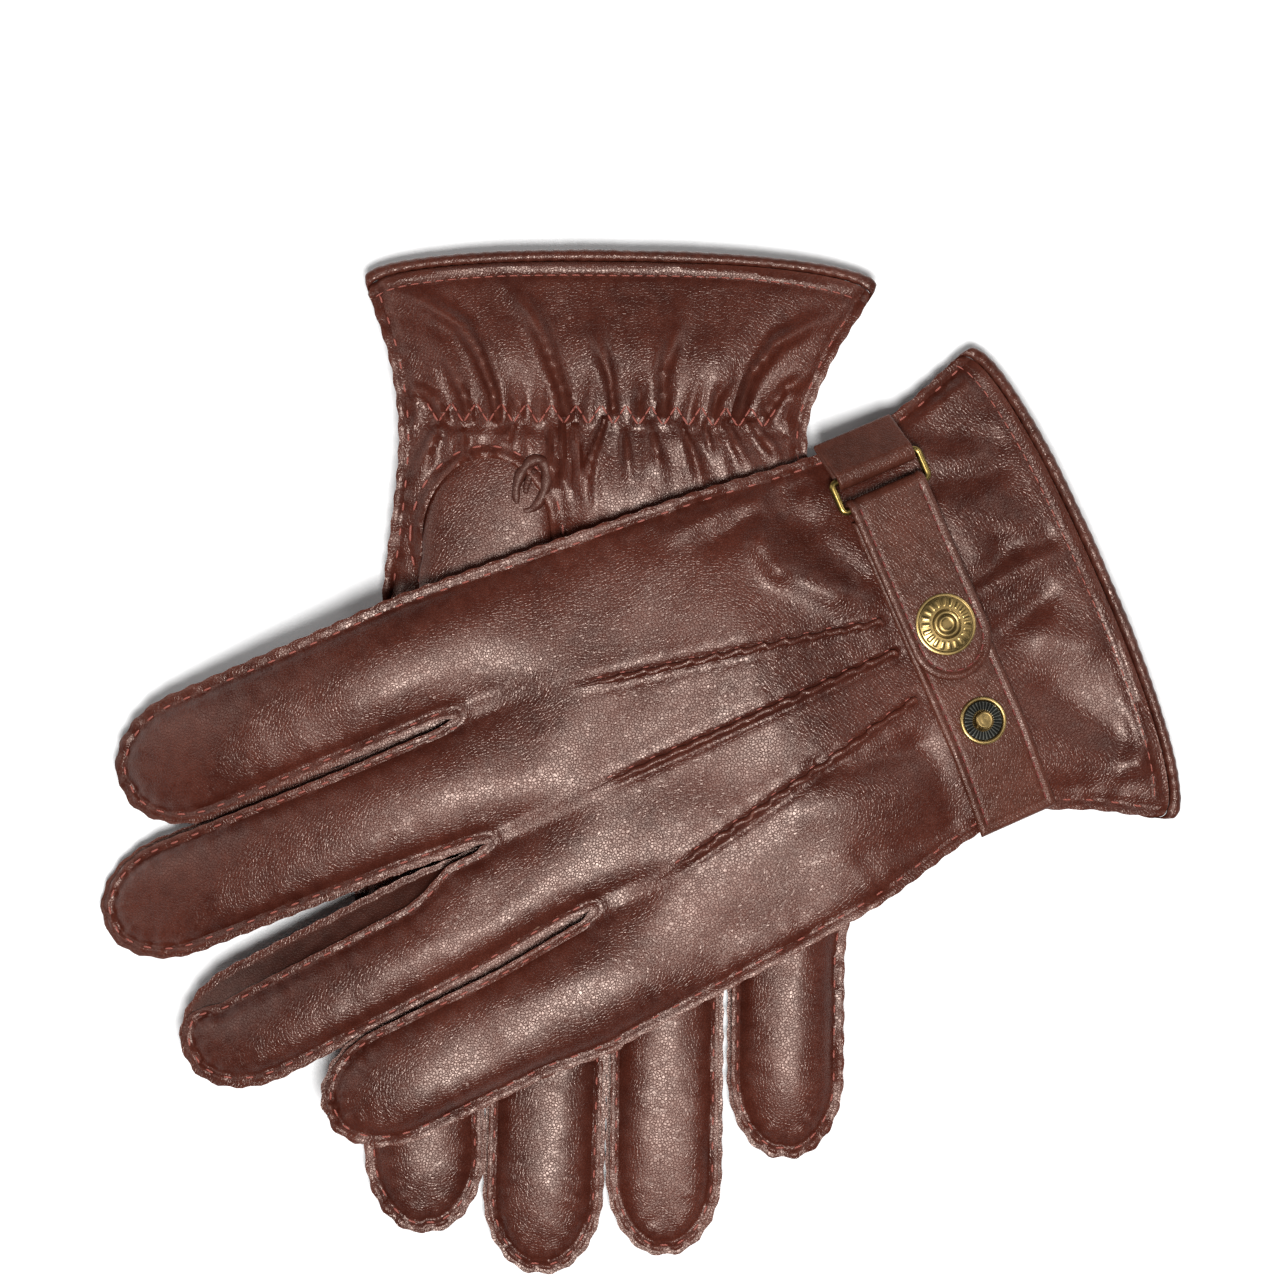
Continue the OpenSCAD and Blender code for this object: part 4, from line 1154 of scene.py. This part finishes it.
def snap_studs(g):
    stud_top = FLAP_Z - STRAP_Z - STRAP_T - 0.25
    profile = [(1.5, -STRAP_T), (1.5, 0.0), (5.5, 0.0), (5.75, 0.12), (5.82, 0.4), (5.75, 0.75),
               (5.55, 0.97), (5.3, 1.03), (5.05, 0.97), (4.88, 0.78), (4.8, 0.5), (4.75, 0.33)]
    profile += [(r, 0.3) for r in np.linspace(4.7, 2.3, 22)]
    profile += [(1.75, 0.32), (1.65, 0.6), (1.68, 0.92), (1.95, 1.15), (2.13, 1.38), (2.13, 1.58),
                (2.0, 1.82), (1.75, 2.0), (1.35, stud_top - 0.12), (0.85, stud_top - 0.02),
                (0.3, stud_top)]
    verts, faces = lathe(profile, 180, stud_bumps)
    both, all_faces = [], []
    for i, x in enumerate((CAP_X, STUD_X)):
        both.append(verts + [x, 0, STRAP_Z + STRAP_T + 0.02])
        all_faces += [tuple(j + i * len(verts) for j in f) for f in faces]
    name = NAMES[g]
    wells = [at_wrist(g, np.array([[x, 0, STRAP_Z + STRAP_T + 0.6]]))[0] for x in (CAP_X, STUD_X)]
    stud_mat = brass_material(f"{name}_stud_brass", srgb(186, 158, 104), srgb(120, 96, 52), 0.3, wells)
    make(f"{name}_brass_studs", at_wrist(g, np.concatenate(both)), all_faces, stud_mat, f"{name}_glove",
         [f"{name}_snap_studs"], 38)


def strap(g):
    """Base strap, keeper tab, flap and press fastener in the wrist frame."""
    name = NAMES[g]
    half = STRAP_T / 2
    fixed, loose = Threads(), Threads()
    end_x = STRAP_BAR_X - WRAP_R - 0.6
    tuck = 0.0 if g == LEFT else 2.4  # the right strap's ends stay behind the side seams
    base_path = rounded_path([(end_x, STRAP_Z + half), (-28, STRAP_Z + half),
                              (-47.5 + tuck, 1.35 + half)], 5)
    base = strap_piece(g, "strap_base_leather", base_path[::-1], None, [f"{name}_strap_base"],
                       [("long", 2.5, 46)], fixed)
    lower = [(54.4 - tuck, 1.9), (51.3, 3.4)] + arc(TAB_BAR_X, BAR_Z, WRAP_R - half, -62, -270, 44)
    upper = [(TAB_BAR_X + 1.4, BAR_Z + WRAP_R - half - 0.1), (49.5, 7.1), (54.6 - tuck, 3.1)]
    strap_piece(g, "keeper_tab_leather", upper[::-1] + lower[::-1], f"{name}_glove",
                [f"{name}_keeper_tab"], [("across", 3.0, 0)], fixed)
    nose_r = STRAP_W / 2
    flap_path = [(CAP_X - 3.4 - nose_r, FLAP_Z + half), (STRAP_BAR_X, FLAP_Z + half)]
    flap_path += arc(STRAP_BAR_X, BAR_Z, WRAP_R - half, 90, -90)[1:]
    strap_piece(g, "strap_flap_leather", flap_path, f"{name}_flap", [f"{name}_strap_flap"],
                [("nose", 0, 0), ("long", nose_r, 46)], loose, nose_r)
    for part, threads, body in (("strap", fixed, "glove"), ("flap", loose, "flap")):
        make(f"{name}_{part}_stitches", threads.verts, threads.faces, DARK_THREAD_MAT,
             f"{name}_{body}", recalc=False)
    start, end = at_wrist(g, [14.0, 0, STRAP_Z]), at_wrist(g, [34.5, 0, STRAP_Z])
    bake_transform(base)
    snap_cap(g)
    snap_studs(g)


def thumb_tuck(g):
    """The curled end of the thumb's seam at the palm, as two small rolled loops."""
    verts, faces = [], []
    steps, ring, lean = 70, 10, math.radians(-16)
    for centre, size, roll, start, end in (((20.4, 48.4), (3.4, 6.4), 1.45, -3.3, 2.6),
                                           ((20.6, 48.0), (0.8, 3.0), 0.9, -0.4, 2.6)):
        base = len(verts)
        angles = np.linspace(start, end, steps + 1)
        px = size[0] * np.sin(angles)
        py = -size[1] * np.cos(angles)
        x = centre[0] + px * math.cos(lean) - py * math.sin(lean)
        y = centre[1] + px * math.sin(lean) + py * math.cos(lean)
        dx, dy = np.gradient(x), np.gradient(y)
        length = np.hypot(dx, dy)
        for i in range(steps + 1):
            taper = 0.45 + 0.55 * math.sin(math.pi * i / steps) ** 0.5
            swell = roll * (1 + 0.1 * math.sin(i * 0.6)) * taper
            side = np.array([dy[i], -dx[i]]) / length[i]
            for q in range(ring):
                w = math.tau * q / ring
                reach = swell * math.cos(w)
                verts.append(over_hand(g, PALM, x[i] + side[0] * reach, y[i] + side[1] * reach,
                                       0.5 + swell * math.sin(w) * 0.9))
        faces += tube_faces(base, steps, ring)
    name = NAMES[g]
    # The darker leather here is painted shade in the curled loops.
    make(f"{name}_thumb_tuck", place(g, np.array(verts)), faces, SHADED_LEATHER_MAT, f"{name}_glove")


# ---- build ---------------------------------------------------------------------------------

for glove in (RIGHT, LEFT):
    label = NAMES[glove]
    for face in (BACK, PALM):
        lining(glove, face)
    outlines = {face: panel(glove, face) for face in (BACK, PALM)}
    seam_stitches(glove, outlines)
    elastic(glove)
    for number, which in enumerate(("index_middle", "middle_ring", "ring_little")):
        fourchette(glove, number, which)
    thumb(glove)
    if glove == RIGHT:
        thumb_tuck(glove)
    cuff_roll(glove)
    point_ribs(glove)
    strap(glove)
    for node, material in (("strap_ring", WIRE_MAT), ("snap_socket", BRASS_MAT)):
        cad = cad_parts[f"{label}_{node}"]
        cad.data.materials.clear()
        cad.data.materials.append(material)

# ---- stage, light and camera ---------------------------------------------------------------

low, high = (Vector(corner) for corner in cad_box)
floor_mesh = bpy.data.meshes.new("floor")
bm = bmesh.new()
bmesh.ops.create_grid(bm, x_segments=2, y_segments=2, size=3.0)
bm.to_mesh(floor_mesh)
bm.free()
floor = bpy.data.objects.new("floor", floor_mesh)
floor.location.z = -0.0006
bpy.context.scene.collection.objects.link(floor)
paper = bpy.data.materials.new("pale_floor")
paper.use_nodes = True
paper_inputs = paper.node_tree.nodes["Principled BSDF"].inputs
paper_inputs["Base Color"].default_value = (0.93, 0.93, 0.93, 1)
paper_inputs["Roughness"].default_value = 0.9
floor_mesh.materials.append(paper)

scene = bpy.context.scene
scene.view_settings.view_transform = "Standard"
world = bpy.data.worlds.new("pale_room")
world.use_nodes = True
sky = world.node_tree.nodes["Background"].inputs
sky["Color"].default_value, sky["Strength"].default_value = (1, 1, 1, 1), 0.08
scene.world = world


def area_light(name, at, target, size, watts):
    data = bpy.data.lights.new(name, "AREA")
    data.shape = "RECTANGLE"
    data.size, data.size_y = size
    data.energy = watts
    light = bpy.data.objects.new(name, data)
    light.location = at
    light.rotation_euler = (Vector(target) - Vector(at)).to_track_quat("-Z", "Y").to_euler()
    scene.collection.objects.link(light)


centre = (low + high) / 2
area_light("overhead", (centre.x + 0.1, centre.y - 0.45, 2.3), centre, (0.6, 0.5), 72)
area_light("left_fill", (centre.x - 1.7, centre.y + 0.5, 1.0), centre, (1.0, 1.0), 9)
area_light("right_fill", (centre.x + 1.6, centre.y + 0.9, 1.3), centre, (0.8, 0.8), 9)

camera_data = bpy.data.cameras.new("camera")
VIEW_WIDTH, VIEW_HEIGHT, MID_HEIGHT, SENSOR = 0.3072, 1.8, 0.02, 36
camera_data.sensor_width = SENSOR
camera_data.lens = SENSOR * VIEW_HEIGHT / VIEW_WIDTH
camera = bpy.data.objects.new("camera", camera_data)
camera.location = (-0.00016, 0.02944, VIEW_HEIGHT + MID_HEIGHT)
scene.collection.objects.link(camera)
scene.camera = camera
